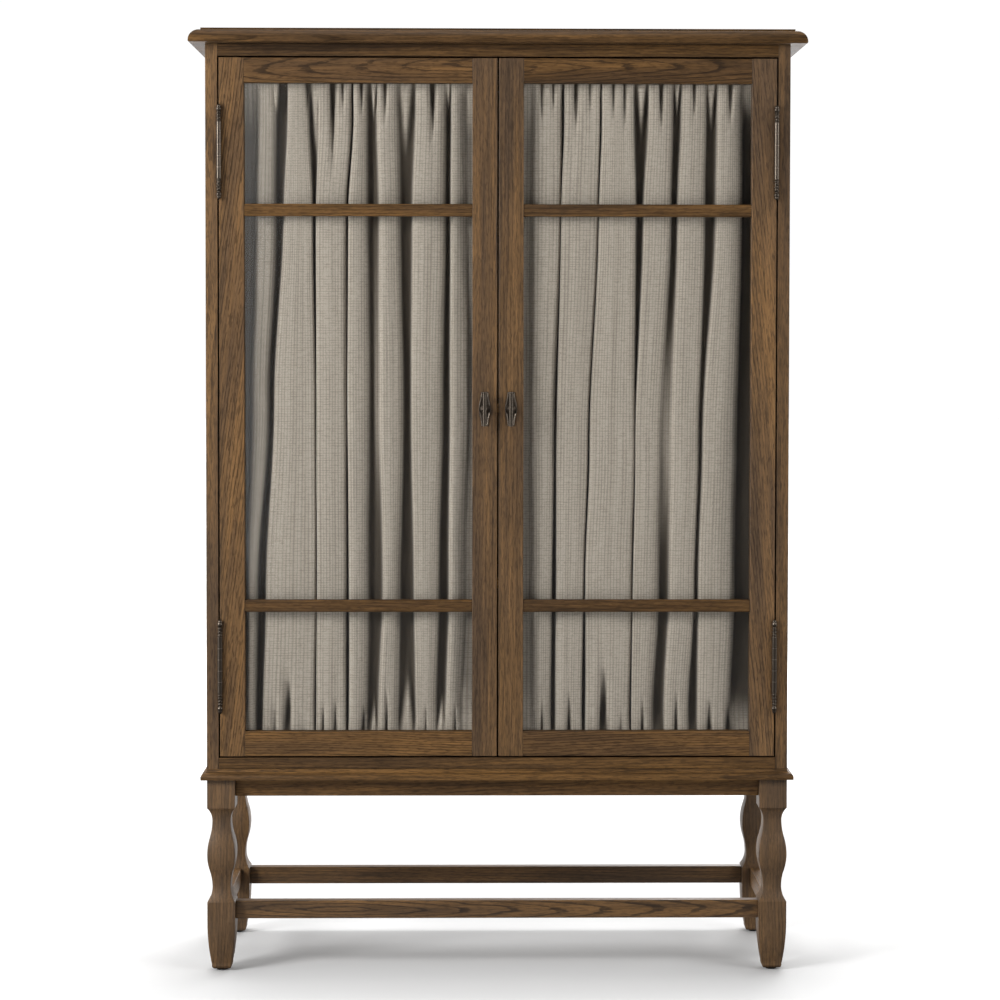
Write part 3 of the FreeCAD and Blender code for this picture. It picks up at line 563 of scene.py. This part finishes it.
# What each curtain's folds are built from. Their edges were measured in the photograph.
# heights: where the folds were measured, running downwards
# edge_shares: each fold's left and right edges there, as shares of the opening's width
# valley_shares: depth of the valley after each fold there, as shares of the deepest
# falls: how far each fold's right side falls back, in metres
# margin_shares: depth of the cloth behind the left and right stile, as shares of the deepest
# top_gathers, bottom_gathers: place and half-width of each small gather as shares of the opening's
# width, its reach in metres, and how strongly it draws the cloth back (forward if negative)
left_curtain = {
    "seed": 2,
    "heights": (1.667, 1.473, 1.109, 0.742, 0.500),
    "edge_shares": (
        ((0.060, 0.132), (0.050, 0.132), (0.031, 0.101), (0.008, 0.047), (0.005, 0.040)),
        ((0.189, 0.276), (0.172, 0.294), (0.128, 0.306), (0.090, 0.308), (0.075, 0.300)),
        ((0.328, 0.465), (0.313, 0.443), (0.312, 0.442), (0.314, 0.442), (0.312, 0.440)),
        ((0.478, 0.545), (0.454, 0.548), (0.450, 0.554), (0.456, 0.550), (0.456, 0.545)),
        ((0.583, 0.673), (0.593, 0.679), (0.596, 0.692), (0.608, 0.678), (0.588, 0.669)),
        ((0.753, 0.882), (0.738, 0.880), (0.735, 0.868), (0.745, 0.849), (0.753, 0.835)),
        ((0.910, 0.969), (0.905, 0.973), (0.904, 0.975), (0.899, 0.965), (0.889, 0.950)),
    ),
    "valley_shares": (
        (1.0, 1.0, 1.0, 1.0, 1.0), (0.9, 0.9, 1.0, 1.0, 0.8), (1.0, 1.0, 1.0, 1.0, 1.0),
        (0.8, 0.75, 0.5, 0.9, 0.9), (0.8, 0.9, 0.95, 1.0, 0.9), (1.0, 1.0, 1.0, 1.0, 0.9),
    ),
    "falls": (0.009, 0.005, 0.006, 0.014, 0.009, 0.008, 0.006),
    "margin_shares": (0.57, 0.50),
    "top_gathers": (
        (0.140, 0.007, 0.050, -9), (0.182, 0.006, 0.060, 5), (0.273, 0.006, 0.045, 5),
        (0.312, 0.012, 0.110, -9), (0.385, 0.010, 0.130, 9), (0.428, 0.006, 0.045, 7),
        (0.510, 0.007, 0.050, 7), (0.566, 0.006, 0.055, -10), (0.614, 0.008, 0.060, 7),
        (0.708, 0.014, 0.100, -8), (0.823, 0.009, 0.085, 9), (0.895, 0.006, 0.050, -8),
    ),
    "bottom_gathers": (
        (0.128, 0.007, 0.060, 7), (0.182, 0.010, 0.110, 10), (0.248, 0.006, 0.050, 8),
        (0.340, 0.005, 0.045, 7), (0.394, 0.007, 0.050, 7), (0.517, 0.006, 0.045, 6),
        (0.567, 0.010, 0.050, -8), (0.620, 0.006, 0.060, 7), (0.715, 0.016, 0.090, -9),
        (0.795, 0.005, 0.040, 5), (0.867, 0.012, 0.055, -9), (0.925, 0.005, 0.040, 5),
    ),
}
right_curtain = {
    "seed": 5,
    "heights": (1.667, 1.473, 1.022, 0.742, 0.500),
    "edge_shares": (
        ((0.043, 0.166), (0.043, 0.163), (0.039, 0.134), (0.043, 0.126), (0.047, 0.121)),
        ((0.181, 0.335), (0.168, 0.328), (0.150, 0.285), (0.150, 0.268), (0.148, 0.260)),
        ((0.346, 0.483), (0.334, 0.494), (0.296, 0.493), (0.277, 0.481), (0.280, 0.473)),
        ((0.554, 0.656), (0.533, 0.649), (0.498, 0.608), (0.489, 0.599), (0.483, 0.575)),
        ((0.699, 0.801), (0.684, 0.797), (0.663, 0.777), (0.651, 0.757), (0.629, 0.730)),
        ((0.857, 0.963), (0.850, 0.962), (0.797, 0.943), (0.780, 0.935), (0.780, 0.920)),
    ),
    "valley_shares": (
        (1.0, 0.9, 0.9, 1.0, 1.0), (1.0, 0.9, 0.9, 0.9, 1.0), (1.0, 1.0, 0.9, 0.9, 1.0),
        (1.0, 1.0, 0.45, 0.9, 1.0), (1.0, 1.0, 0.8, 0.8, 1.0),
    ),
    "falls": (0.007, 0.005, 0.006, 0.009, 0.007, 0.009),
    "margin_shares": (0.42, 1.0),
    "top_gathers": (
        (0.080, 0.007, 0.060, 7), (0.130, 0.006, 0.045, 6), (0.230, 0.008, 0.080, 8),
        (0.290, 0.006, 0.050, 6), (0.395, 0.007, 0.055, 7), (0.445, 0.006, 0.070, 6),
        (0.520, 0.012, 0.090, -9), (0.605, 0.008, 0.070, 8), (0.678, 0.007, 0.060, -8),
        (0.750, 0.007, 0.055, 7), (0.828, 0.010, 0.080, -8), (0.910, 0.008, 0.060, 8),
    ),
    "bottom_gathers": (
        (0.084, 0.006, 0.050, 6), (0.205, 0.007, 0.060, 8), (0.357, 0.012, 0.110, 11),
        (0.430, 0.006, 0.050, 6), (0.530, 0.006, 0.050, 7), (0.680, 0.007, 0.060, 7),
        (0.828, 0.009, 0.050, 9), (0.911, 0.008, 0.040, 6),
    ),
}


def eased(share):
    """A share that starts and ends gently, kept between 0 and 1."""
    share = max(0.0, min(1.0, share))
    return share * share * (3 - 2 * share)


def between(heights, values, z):
    """The value at height z, eased between the measured heights, which run downwards."""
    if z >= heights[0]:
        return values[0]
    for (upper, first), (lower, last) in zip(zip(heights, values), zip(heights[1:], values[1:])):
        if z >= lower:
            return first + (last - first) * eased((upper - z) / (upper - lower))
    return values[-1]


def corner_cut(points, times):
    """Round a chain of points by cutting its corners."""
    for _ in range(times):
        cut = [points[0]]
        for first, last in zip(points, points[1:]):
            cut.append(first * 0.75 + last * 0.25)
            cut.append(first * 0.25 + last * 0.75)
        cut.append(points[-1])
        points = cut
    return points


def margin_depth(z, share):
    """How deep the cloth hangs behind a stile at height z: forward near the rods, and the share
    of the deepest at mid height."""
    near_rod_share, full_away = 0.20, 110 * mm
    away = min(z - rod_low, rod_high - z)
    opened = max(0.0, min(1.0, away / full_away))
    return cloth_deep * (near_rod_share + (share - near_rod_share) * opened)


def fold_points(left, right, turns, depths, fall, lean):
    """The section of one fold, between its edges: turns are the widths of the bends into the
    valleys beside it, and depths are the depths of those valleys."""
    turn_before, turn_after = turns
    deep_before, deep_after = depths
    crown = 1.4 * mm
    round_edge = min(4.5 * mm, (right - left) * 0.2)
    edge_deep = fall * 1.35 - lean
    return [
        Vector((left - turn_before, deep_before * 0.97)),
        Vector((left - turn_before * 0.25, deep_before * 0.5)),
        Vector((left + round_edge * 0.05, crown * 2 + lean)),
        Vector((left + round_edge * 0.9, crown * 0.3 + lean)),
        Vector((left * 0.68 + right * 0.32, 0)),
        Vector((left * 0.40 + right * 0.60, fall * 0.30 - lean * 0.5)),
        Vector((right - round_edge * 1.3, fall * 0.75 - lean)),
        Vector((right - round_edge * 0.1, edge_deep)),
        Vector((right + turn_after * 0.25, max(deep_after * 0.5, edge_deep + 1 * mm))),
        Vector((right + turn_after, max(deep_after * 0.97, edge_deep + 2 * mm))),
    ]


def fold_chain(z, facts):
    """The cloth's section at height z: (place across in metres, depth from 0 at the front)."""
    most_sway, most_lean, most_swing = 1.2 * mm, 1.6 * mm, 0.5
    outer_gap, turn_share, widest_turn = 14 * mm, 0.30, 5 * mm
    heights, seed = facts["heights"], facts["seed"]
    edges = []
    for fold, pairs in enumerate(facts["edge_shares"]):
        sway = most_sway * noise.noise(Vector((seed + fold * 3.1, z * 4.0, 0)))
        edges.append([between(heights, shares, z) * opening_width + sway
                      for shares in zip(*pairs)])
    margins = [margin_depth(z, share) for share in facts["margin_shares"]]
    depths = [cloth_deep * between(heights, shares, z) for shares in facts["valley_shares"]]
    depths = [margins[0]] + depths + [margins[1]]
    gaps = [after[0] - before[1] for before, after in zip(edges, edges[1:])]
    gaps = [outer_gap] + gaps + [outer_gap]
    turns = [min(gap * turn_share, widest_turn) for gap in gaps]
    near_edge, far_edge = -side_tuck, opening_width + side_tuck
    first_bend = edges[0][0] - turns[0]
    chain = [Vector((near_edge, margins[0])), Vector(((first_bend + near_edge) / 2, margins[0]))]
    for fold, (left, right) in enumerate(edges):
        lean = most_lean * noise.noise(Vector((seed + fold * 7.3, z * 2.2, 5.0)))
        swing = 1 + most_swing * noise.noise(Vector((seed + fold * 5.7, z * 3.0, 9.0)))
        if fold:
            chain.append(Vector((left - gaps[fold] / 2, depths[fold])))
        chain += fold_points(left, right, turns[fold:fold + 2], depths[fold:fold + 2],
                             facts["falls"][fold] * swing, lean)
    chain += [Vector(((chain[-1].x + far_edge) / 2, margins[1])), Vector((far_edge, margins[1]))]
    return corner_cut(chain, 2)


def gathered(x, z, facts):
    """How far the small gathers draw the cloth back at a place, as a share of the depth there."""
    full_strength = 6.5
    drawn = 0.0
    for end, away in (("top", rod_high - z), ("bottom", z - rod_low)):
        for share, half_share, reach, strength in facts[end + "_gathers"]:
            fade_out = reach * 1.6
            if away < fade_out:
                fade = (1 - max(0.0, away) / fade_out) ** 1.2
                half_wide = half_share * opening_width * (0.75 + 0.75 * fade)
                off = (x - share * opening_width) / half_wide
                drawn += strength / full_strength * fade * math.exp(-off * off)
    return drawn


def cloth_rows():
    """Rows of the sheet from its lower stitched edge, round the lower rod, up the front, over the
    upper rod and down to the upper stitched edge: height, foremost place, depth of the folds, and
    1 on the front, whose folds get painted shade, or 0 on the sleeves."""
    clear = rod_radius + 1.0 * mm
    behind = rod_line + clear + 0.6 * mm
    before = door_back + 0.9 * mm
    shallow = rod_line - clear - before
    hem, hem_deep, sleeve_deep = 12 * mm, 2.2 * mm, 3 * mm
    sleeve = []
    for share in (0.0, 0.35, 0.7, 1.0):
        sleeve.append((hem * (1 - share), rod_line + clear * min(1, 0.2 + 1.6 * share),
                       hem_deep * share))
    for share in (0.25, 0.5, 0.75):
        angle = math.pi * share
        sleeve.append((-clear * math.sin(angle) * 1.1,
                       behind + (before - behind) * (1 - math.cos(angle)) / 2, sleeve_deep))
    rows = [(rod_low + inward, place, deep, 0.0) for inward, place, deep in sleeve]
    count, full_away = 150, 48 * mm
    for k in range(count + 1):
        z = rod_low + (rod_high - rod_low) * k / count
        opened = eased(min(z - rod_low, rod_high - z) / full_away)
        rows.append((z, before + (cloth_front - before) * opened,
                     shallow + (cloth_deep - shallow) * opened, 1.0))
    rows += [(rod_high - inward, place, deep, 0.0) for inward, place, deep in reversed(sleeve)]
    return rows


def curtain(side, facts):
    """One gathered sheet, shirred on both rods."""
    start = -opening_outer if side == "left" else opening_inner
    seed = facts["seed"]
    map_shift = seed * 0.13
    # Crumples: share of the depth, how close they lie across and up, and a layer of the noise
    crumples = ((0.020, 60, 9, 2.0), (0.014, 140, 30, 7.0))
    bm = bmesh.new()
    valley_shade_layer = bm.verts.layers.float.new("fold")
    grid = []
    for z, foremost, room, valley_shaded in cloth_rows():
        line = []
        for x, deep in fold_chain(z, facts):
            drawn = deep / cloth_deep + gathered(x, z, facts)
            for share, across, upward, noise_layer in crumples:
                drawn += share * noise.noise(Vector((x * across + seed, z * upward, noise_layer)))
            drawn = max(0.0, min(1.0, drawn))
            line.append(bm.verts.new((start + x, foremost + room * drawn, z)))
            # Painted shade: the linen browns by this share in the valleys of the front rows
            line[-1][valley_shade_layer] = drawn * valley_shaded
        grid.append(line)
    middle = grid[len(grid) // 2]
    along = [0.0]
    for first, last in zip(middle, middle[1:]):
        along.append(along[-1] + (last.co - first.co).length)
    up = [0.0]
    for first, last in zip(grid, grid[1:]):
        up.append(up[-1] + (last[0].co - first[0].co).length)
    layer = bm.loops.layers.uv.new("cloth")
    for r in range(len(grid) - 1):
        for c in range(len(middle) - 1):
            face = bm.faces.new((grid[r][c], grid[r][c + 1], grid[r + 1][c + 1], grid[r + 1][c]))
            face.smooth = True
            corners = ((c, r), (c + 1, r), (c + 1, r + 1), (c, r + 1))
            for loop, (column, row) in zip(face.loops, corners):
                loop[layer].uv = (along[column] + map_shift, up[row])
    name = side + "_curtain_cloth"
    mesh = bpy.data.meshes.new(name)
    bm.to_mesh(mesh)
    bm.free()
    made = new_piece(name, mesh, side + "_door", cloth)
    thick = made.modifiers.new("thick", "SOLIDIFY")
    thick.thickness = 0.7 * mm
    thick.offset = 0.0
    thick.material_offset = 1
    made.data.materials.append(cloth_back)
    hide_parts(side + "_door_curtain")


# Hinges

barrel_radius = 4.6 * mm
knuckle_gap = 0.3 * mm
knuckles = 5
leaf_thick = 2.0 * mm
leaf_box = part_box("left_door_hinge_leaves")


def barrel_spans():
    """Each hinge's lowest and highest barrel heights, from the door leaves' plates."""
    heights = sorted({round(v.co.z, 5) for v in nodes["left_door_hinge_leaves"].data.vertices})
    split = max(range(1, len(heights)), key=lambda k: heights[k] - heights[k - 1])
    return (heights[0], heights[split - 1]), (heights[split], heights[-1])


def knuckle(bm, centre, low, high):
    """One knuckle with its ends eased. The last ring of each end keeps its side straight."""
    ease = 0.2 * mm
    half = [(0, barrel_radius - ease), (ease * 0.3, barrel_radius - ease * 0.3),
            (ease, barrel_radius), (ease * 2, barrel_radius)]
    turned(bm, [(low + up, radius) for up, radius in half]
           + [(high - up, radius) for up, radius in reversed(half)], centre)


def bulge(start, end, first, middle, last, steps):
    """Points of a ring or neck after its first: its radius runs from first by way of middle to
    last."""
    points = []
    for k in range(1, steps + 1):
        share = k / steps
        straight = first + (last - first) * share
        points.append((start + (end - start) * share,
                       straight + (middle - (first + last) / 2) * math.sin(math.pi * share)))
    return points


def finial_profile(first, rings):
    """A stack of turned rings and grooves that ends in a bullet, from its seat outwards."""
    groove, ring, collar, bullet, tip = 3.3 * mm, 4.8 * mm, 2.9 * mm, 5.0 * mm, 0.9 * mm
    shoulder, slope = 3.864 * mm, 3.57 * mm
    neck_high, ring_high, collar_high = 1.7 * mm, 4.3 * mm, 2.0 * mm
    bullet_high, tip_high = 8.0 * mm, 6.5 * mm
    # Height, radius on the way, radius at the end, and how many points
    stretches = [(neck_high, groove, groove, 4), (ring_high, ring, groove, 8)] * rings
    stretches += [(collar_high, collar, groove, 4), (bullet_high, bullet, shoulder, 8),
                  (tip_high, slope, tip, 8)]
    points = [(0.0, first)]
    for high, middle, last, steps in stretches:
        start, radius = points[-1]
        points += bulge(start, start + high, radius, middle, last, steps)
    return points


def hinge_case_part(side, part, low, high):
    """The case leaf with its three knuckles, the pin and both finials."""
    centre = hinge_axis[side + "_door"].copy()
    centre.z = 0
    pitch = (high - low + knuckle_gap) / knuckles
    spans = [(low + k * pitch, low + (k + 1) * pitch - knuckle_gap)
             for k in range(0, knuckles, 2)]
    bm = bmesh.new()
    for knuckle_low, knuckle_high in spans:
        knuckle(bm, centre, knuckle_low, knuckle_high)
    pin_radius, pin_inset = 2.5 * mm, 1 * mm
    turned(bm, [(low + pin_inset, pin_radius), (high - pin_inset, pin_radius)], centre, 24)
    seat, upper_rings, lower_rings = barrel_radius * 0.85, 3, 4
    turned(bm, [(high + h, r) for h, r in finial_profile(seat, upper_rings)], centre)
    turned(bm, [(low - h, r) for h, r in reversed(finial_profile(seat, lower_rings))], centre)
    outer = sides[side] * (abs(centre.x) + barrel_radius)
    inner = outer - sides[side] * leaf_thick
    clear_of_leaf = centre.y + barrel_radius + knuckle_gap
    points = [(leaf_box[1].y, low), (leaf_box[1].y, high)]
    for knuckle_low, knuckle_high in reversed(spans):
        if knuckle_high < spans[-1][1]:
            points.append((clear_of_leaf, knuckle_high))
        points += [(centre.y, knuckle_high), (centre.y, knuckle_low)]
        if knuckle_low > spans[0][0]:
            points.append((clear_of_leaf, knuckle_low))
    prism(bm, [Vector((inner, y, z)) for y, z in points], Vector((outer - inner, 0, 0)))
    name = side + "_hinge_case_part_" + part
    piece = new_piece(name, mesh_of(name, bm), "cabinet", bronze)
    smooth(piece, math.radians(50))
    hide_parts("hinge_case_leaves")


# Pulls

def pull_plate(side):
    """The pull's waisted lozenge plate, with a raised round rim and a dished field."""
    low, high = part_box(side + "_door_pull_plate")
    middle = (low + high) / 2
    half_wide, half_tall, thick = (high.x - low.x) / 2, (high.z - low.z) / 2, high.y - low.y
    half_end = half_wide * 0.56
    steps = 40
    outline = []
    for k in range(steps + 1):
        z = half_tall * math.cos(math.pi * k / steps)
        swell = 0.5 + 0.5 * math.cos(math.pi * z / half_tall)
        outline.append((half_end + (half_wide - half_end) * swell, z))
    outline += [(-x, z) for x, z in reversed(outline)]
    # Inset from the outline in millimetres, and height as a share of the thickness
    section = ((0.0, 0.0), (0.0, 0.55), (0.4, 0.86), (1.2, 1.0), (2.1, 0.84), (2.8, 0.46),
               (3.6, 0.40))
    bm = bmesh.new()
    rings = []
    for inset, rise in section:
        across = 1 - inset * mm / half_wide
        up = 1 - inset * mm / half_tall
        rings.append([bm.verts.new((middle.x + x * across, high.y - thick * rise,
                                    middle.z + z * up)) for x, z in outline])
    close_up(bm, rings)
    name = side + "_pull_plate"
    plate = new_piece(name, mesh_of(name, bm), side + "_door", bronze)
    smooth(plate, math.radians(60))
    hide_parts(side + "_door_pull_plate")


# Screws and pins

leaf_screw = 3.0 * mm


def leaf_places(body, off_axis, way):
    """Places of the screws in one side's hinge leaves, on a face that lies off_axis from the
    hinge's axis: way is 1 or -1, the way along X that the face looks."""
    leaf_face = hinge_axis[body].x + off_axis
    from_edge = 9 * mm
    places = []
    for low, high in barrel_spans():
        for share in (0.14, 0.5, 0.86):
            z = low + (high - low) * share
            places.append(((leaf_face, leaf_box[1].y - from_edge, z), (way, 0, 0)))
    return places


def fasten_door(side):
    """Screws that stay with a door: in its hinge leaves, brackets, strike plate and pull."""
    bracket_screw, strike_screw, pull_screw = 2.1 * mm, 2.0 * mm, 4.2 * mm
    leaf_face = 1.5 * mm
    sign = sides[side]
    body = side + "_door"
    back = (0, 1, 0)
    places = leaf_places(body, sign * leaf_face, sign)
    screws(side + "_hinge_leaf_screws", body, places, leaf_screw, bronze)

    low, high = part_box(body + "_rod_brackets")
    plate_thick, from_end, from_rod = 2.5 * mm, 8 * mm, 8.5 * mm
    places = [((x, door_back + plate_thick, z + off), back) for z in (rod_low, rod_high)
              for x in (low.x + from_end, high.x - from_end) for off in (-from_rod, from_rod)]
    screws(side + "_bracket_screws", body, places, bracket_screw, rod_metal)

    low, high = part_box(body + "_strike_plate")
    middle, from_end = (low.z + high.z) / 2, 4.5 * mm
    places = [((x, high.y, middle), back) for x in (low.x + from_end, high.x - from_end)]
    screws(side + "_strike_screws", body, places, strike_screw, catch_steel)

    low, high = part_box(body + "_pull")
    places = [(((low.x + high.x) / 2, door_back, (low.z + high.z) / 2), back)]
    screws(side + "_pull_screw", body, places, pull_screw, rod_metal)


def fasten_case():
    """Screws in the case's hinge leaves and catches, and the pins of the back panel."""
    places = []
    for side, sign in sides.items():
        places += leaf_places(side + "_door", sign * (barrel_radius - leaf_thick), -sign)
    screws("case_leaf_screws", "cabinet", places, leaf_screw, bronze)

    low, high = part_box("door_catches")
    middle = (low.y + high.y) / 2
    inner_screw, outer_screw, catch_screw = 19.5 * mm, 47.5 * mm, 2.2 * mm
    places = [((sign * x, middle, low.z), (0, 0, -1)) for sign in sides.values()
              for x in (inner_screw, outer_screw)]
    screws("catch_screws", "cabinet", places, catch_screw, catch_steel)

    low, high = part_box("back_panel")
    inset, pin_radius, sunk, proud = 7 * mm, 1.7 * mm, 0.4 * mm, 0.2 * mm
    rows, columns = 12, 8
    places = []
    for k in range(rows + 1):
        z = low.z + inset + (high.z - low.z - 2 * inset) * k / rows
        places += [(low.x + inset, z), (high.x - inset, z)]
    for k in range(1, columns):
        x = low.x + inset + (high.x - low.x - 2 * inset) * k / columns
        places += [(x, low.z + inset), (x, high.z - inset)]
    corners = 12
    angles = [2 * math.pi * k / corners for k in range(corners)]
    bm = bmesh.new()
    for x, z in places:
        rim = arc(Vector((x, high.y - sunk, z)), pin_radius, Vector((1, 0, 0)),
                  Vector((0, 0, 1)), angles)
        prism(bm, rim, Vector((0, sunk + proud, 0)))
    new_piece("back_panel_pins", mesh_of("back_panel_pins", bm), "cabinet", rod_metal)


# Finishes of the pieces

# The front's linen has painted shade in its folds; the back's has none
cloth = linen("linen", True)
cloth_back = linen("linen_back", False)
glass = clear_glass()
bronze = metal("aged_bronze", (0.082, 0.066, 0.052, 1), (0.44, 0.37, 0.29, 1), 0.9, 0.26)
rod_metal = metal("rod_metal", (0.20, 0.19, 0.17, 1), (0.55, 0.52, 0.47, 1), 0.6, 0.28)
catch_steel = metal("catch_steel", (0.42, 0.42, 0.42, 1), (0.70, 0.70, 0.69, 1), 0.5, 0.25)
catch_body = plastic("catch_body", (0.050, 0.030, 0.020), 0.45)
glide_plastic = plastic("glide_plastic", (0.012, 0.012, 0.012), 0.5)
door_finishes = {
    "glass": glass, "curtain_rods": rod_metal, "rod_brackets": rod_metal,
    "hinge_leaves": bronze, "pull": bronze, "pull_plate": bronze, "strike_plate": catch_steel,
}

top_stave = 110 * mm
side_stave = 95 * mm
boards = {
    # The top and base boards' low tones are painted shade on their moulded edges, against the
    # light from above; the top board's underside keeps a lighter tone
    "top_board": Board("xy", 0.67, 0.4, top_stave, gloss=0.03, ease=0.5 * mm),
    "base_board": Board("xy", 0.74, 0.4, top_stave, ease=0.5 * mm),
    "side_panel_left": Board("zy", 0.90, 0.5, side_stave, gloss=0.24),
    "side_panel_right": Board("zy", 0.79, 0.5, side_stave, gloss=0.24),
    # The case top rail's low tone is painted shade under the top board's overhang
    "case_top_rail": Board("xz", 0.53),
    "case_bottom_rail": Board("xz", 0.72, ease=1.5 * mm),
    "case_back_rail": Board("xz", 0.95),
    "case_floor": Board("xy", 0.95, 0.4, top_stave),
    "back_panel": Board("zx", 1.25, 0.7),
    "shelf_lower": Board("xy", 1.0, 0.4, top_stave),
    "shelf_middle": Board("xy", 1.0, 0.5, top_stave),
    "shelf_upper": Board("xy", 1.0, 0.4, top_stave),
    "shelf_cleats": Board("yz", 0.95),
    "apron_front": Board("xz", 0.92),
    "apron_back": Board("xz", 0.9),
    "stretcher_front": Board("xz", 0.88, 1.0, gloss=0.45, grain=0.8),
    "stretcher_back": Board("xz", 0.77, gloss=0.45, grain=0.8),
    "corner_blocks": Board("xy", 0.95, 0.3),
    "left_door_hinge_stile": Board("zx", 1.0, 0.35, tilt=0.11, grain=0.66),
    "right_door_hinge_stile": Board("zx", 1.0, 0.35, tilt=-0.07, gloss=0.24, grain=0.72),
    "left_door_meeting_stile": Board("zx", 0.86, 0.15, gloss=0.24),
    "right_door_meeting_stile": Board("zx", 0.78, 0.15, gloss=0.24),
    "left_door_top_rail": Board("xz", 0.84, 0.95),
    "right_door_top_rail": Board("xz", 0.61, 0.95),
}
for side in sides:
    boards["apron_" + side] = Board("yz", 0.9)
    boards["stretcher_" + side] = Board("yz", 0.95, 0.3, gloss=0.45, grain=0.8)
    boards[side + "_door_bottom_rail"] = Board("xz", 0.90, 0.9)
    boards[side + "_door_upper_bar"] = Board("xz", 0.63)
    boards[side + "_door_lower_bar"] = Board("xz", 0.63)
    boards[side + "_door_glazing_beads"] = Board("zx", 0.9)
for leg, tone in (("front_left", 0.84), ("front_right", 0.82), ("back_left", 0.88),
                  ("back_right", 0.85)):
    boards["leg_" + leg] = Board("zx", tone, gloss=0.45, grain=0.55)


def middle_of(node):
    low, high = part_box(node)
    return (low + high) / 2


def dress(node, finish):
    """Give a CAD node one finish."""
    nodes[node].data.materials.clear()
    nodes[node].data.materials.append(finish)


def dress_wood():
    """Oak on every wooden node, with a glossier underside on the top board and beads whose grain
    follows each side of the pane."""
    first_seed, beads_seed, underside_seed = 11, 71, 72
    for seed, name in enumerate(sorted(boards), first_seed):
        dress(name, oak(name, boards[name], middle_of(name), seed))
        soften(name, boards[name].ease)
    top = nodes["top_board"]
    underside = Board("xy", 0.8, 0.4, gloss=0.5, grain=1.0)
    top.data.materials.append(oak("top_board_underside", underside, middle_of("top_board"),
                                  underside_seed))
    for face in top.data.polygons:
        face.material_index = int(face.normal.z < -0.9)
    bead_wide, slack = 8 * mm, 0.16 * mm
    within = bead_wide + slack
    for side in sides:
        beads = side + "_door_glazing_beads"
        low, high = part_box(beads)
        level_beads = Board("xz", 0.9, grain=1.0)
        nodes[beads].data.materials.append(oak(side + "_door_level_beads", level_beads,
                                               middle_of(beads), beads_seed))
        for face in nodes[beads].data.polygons:
            x, _, z = face.center
            level = z < low.z + within or z > high.z - within
            upright = x < low.x + within or x > high.x - within
            face.material_index = int(level and not upright)


def dress_fittings():
    """Glass, metal and plastic on the other CAD nodes."""
    metal_ease, plastic_ease = 0.35 * mm, 0.5 * mm
    for side in sides:
        for part, finish in door_finishes.items():
            dress(side + "_door_" + part, finish)
        for part in ("pull", "rod_brackets", "strike_plate"):
            soften(side + "_door_" + part, metal_ease)
    dress("door_catches", catch_body)
    dress("glides", glide_plastic)
    soften("door_catches", plastic_ease)


def make_floor():
    """A wide sheet just under the glides."""
    half_size, drop = 30, 0.2 * mm
    bm = bmesh.new()
    bmesh.ops.create_grid(bm, x_segments=8, y_segments=8, size=half_size)
    made = bpy.data.objects.new("studio_floor", mesh_of("studio_floor", bm))
    bpy.context.scene.collection.objects.link(made)
    made.data.materials.append(floor_paint())
    made.location.z = -drop


make_camera()
make_lamps()
make_surround()
make_floor()
dress_wood()
dress_fittings()
curtain("left", left_curtain)
curtain("right", right_curtain)
for side in sides:
    for name, (low, high) in zip(("lower", "upper"), barrel_spans()):
        hinge_case_part(side, name, low, high)
for side in sides:
    pull_plate(side)
    fasten_door(side)
fasten_case()
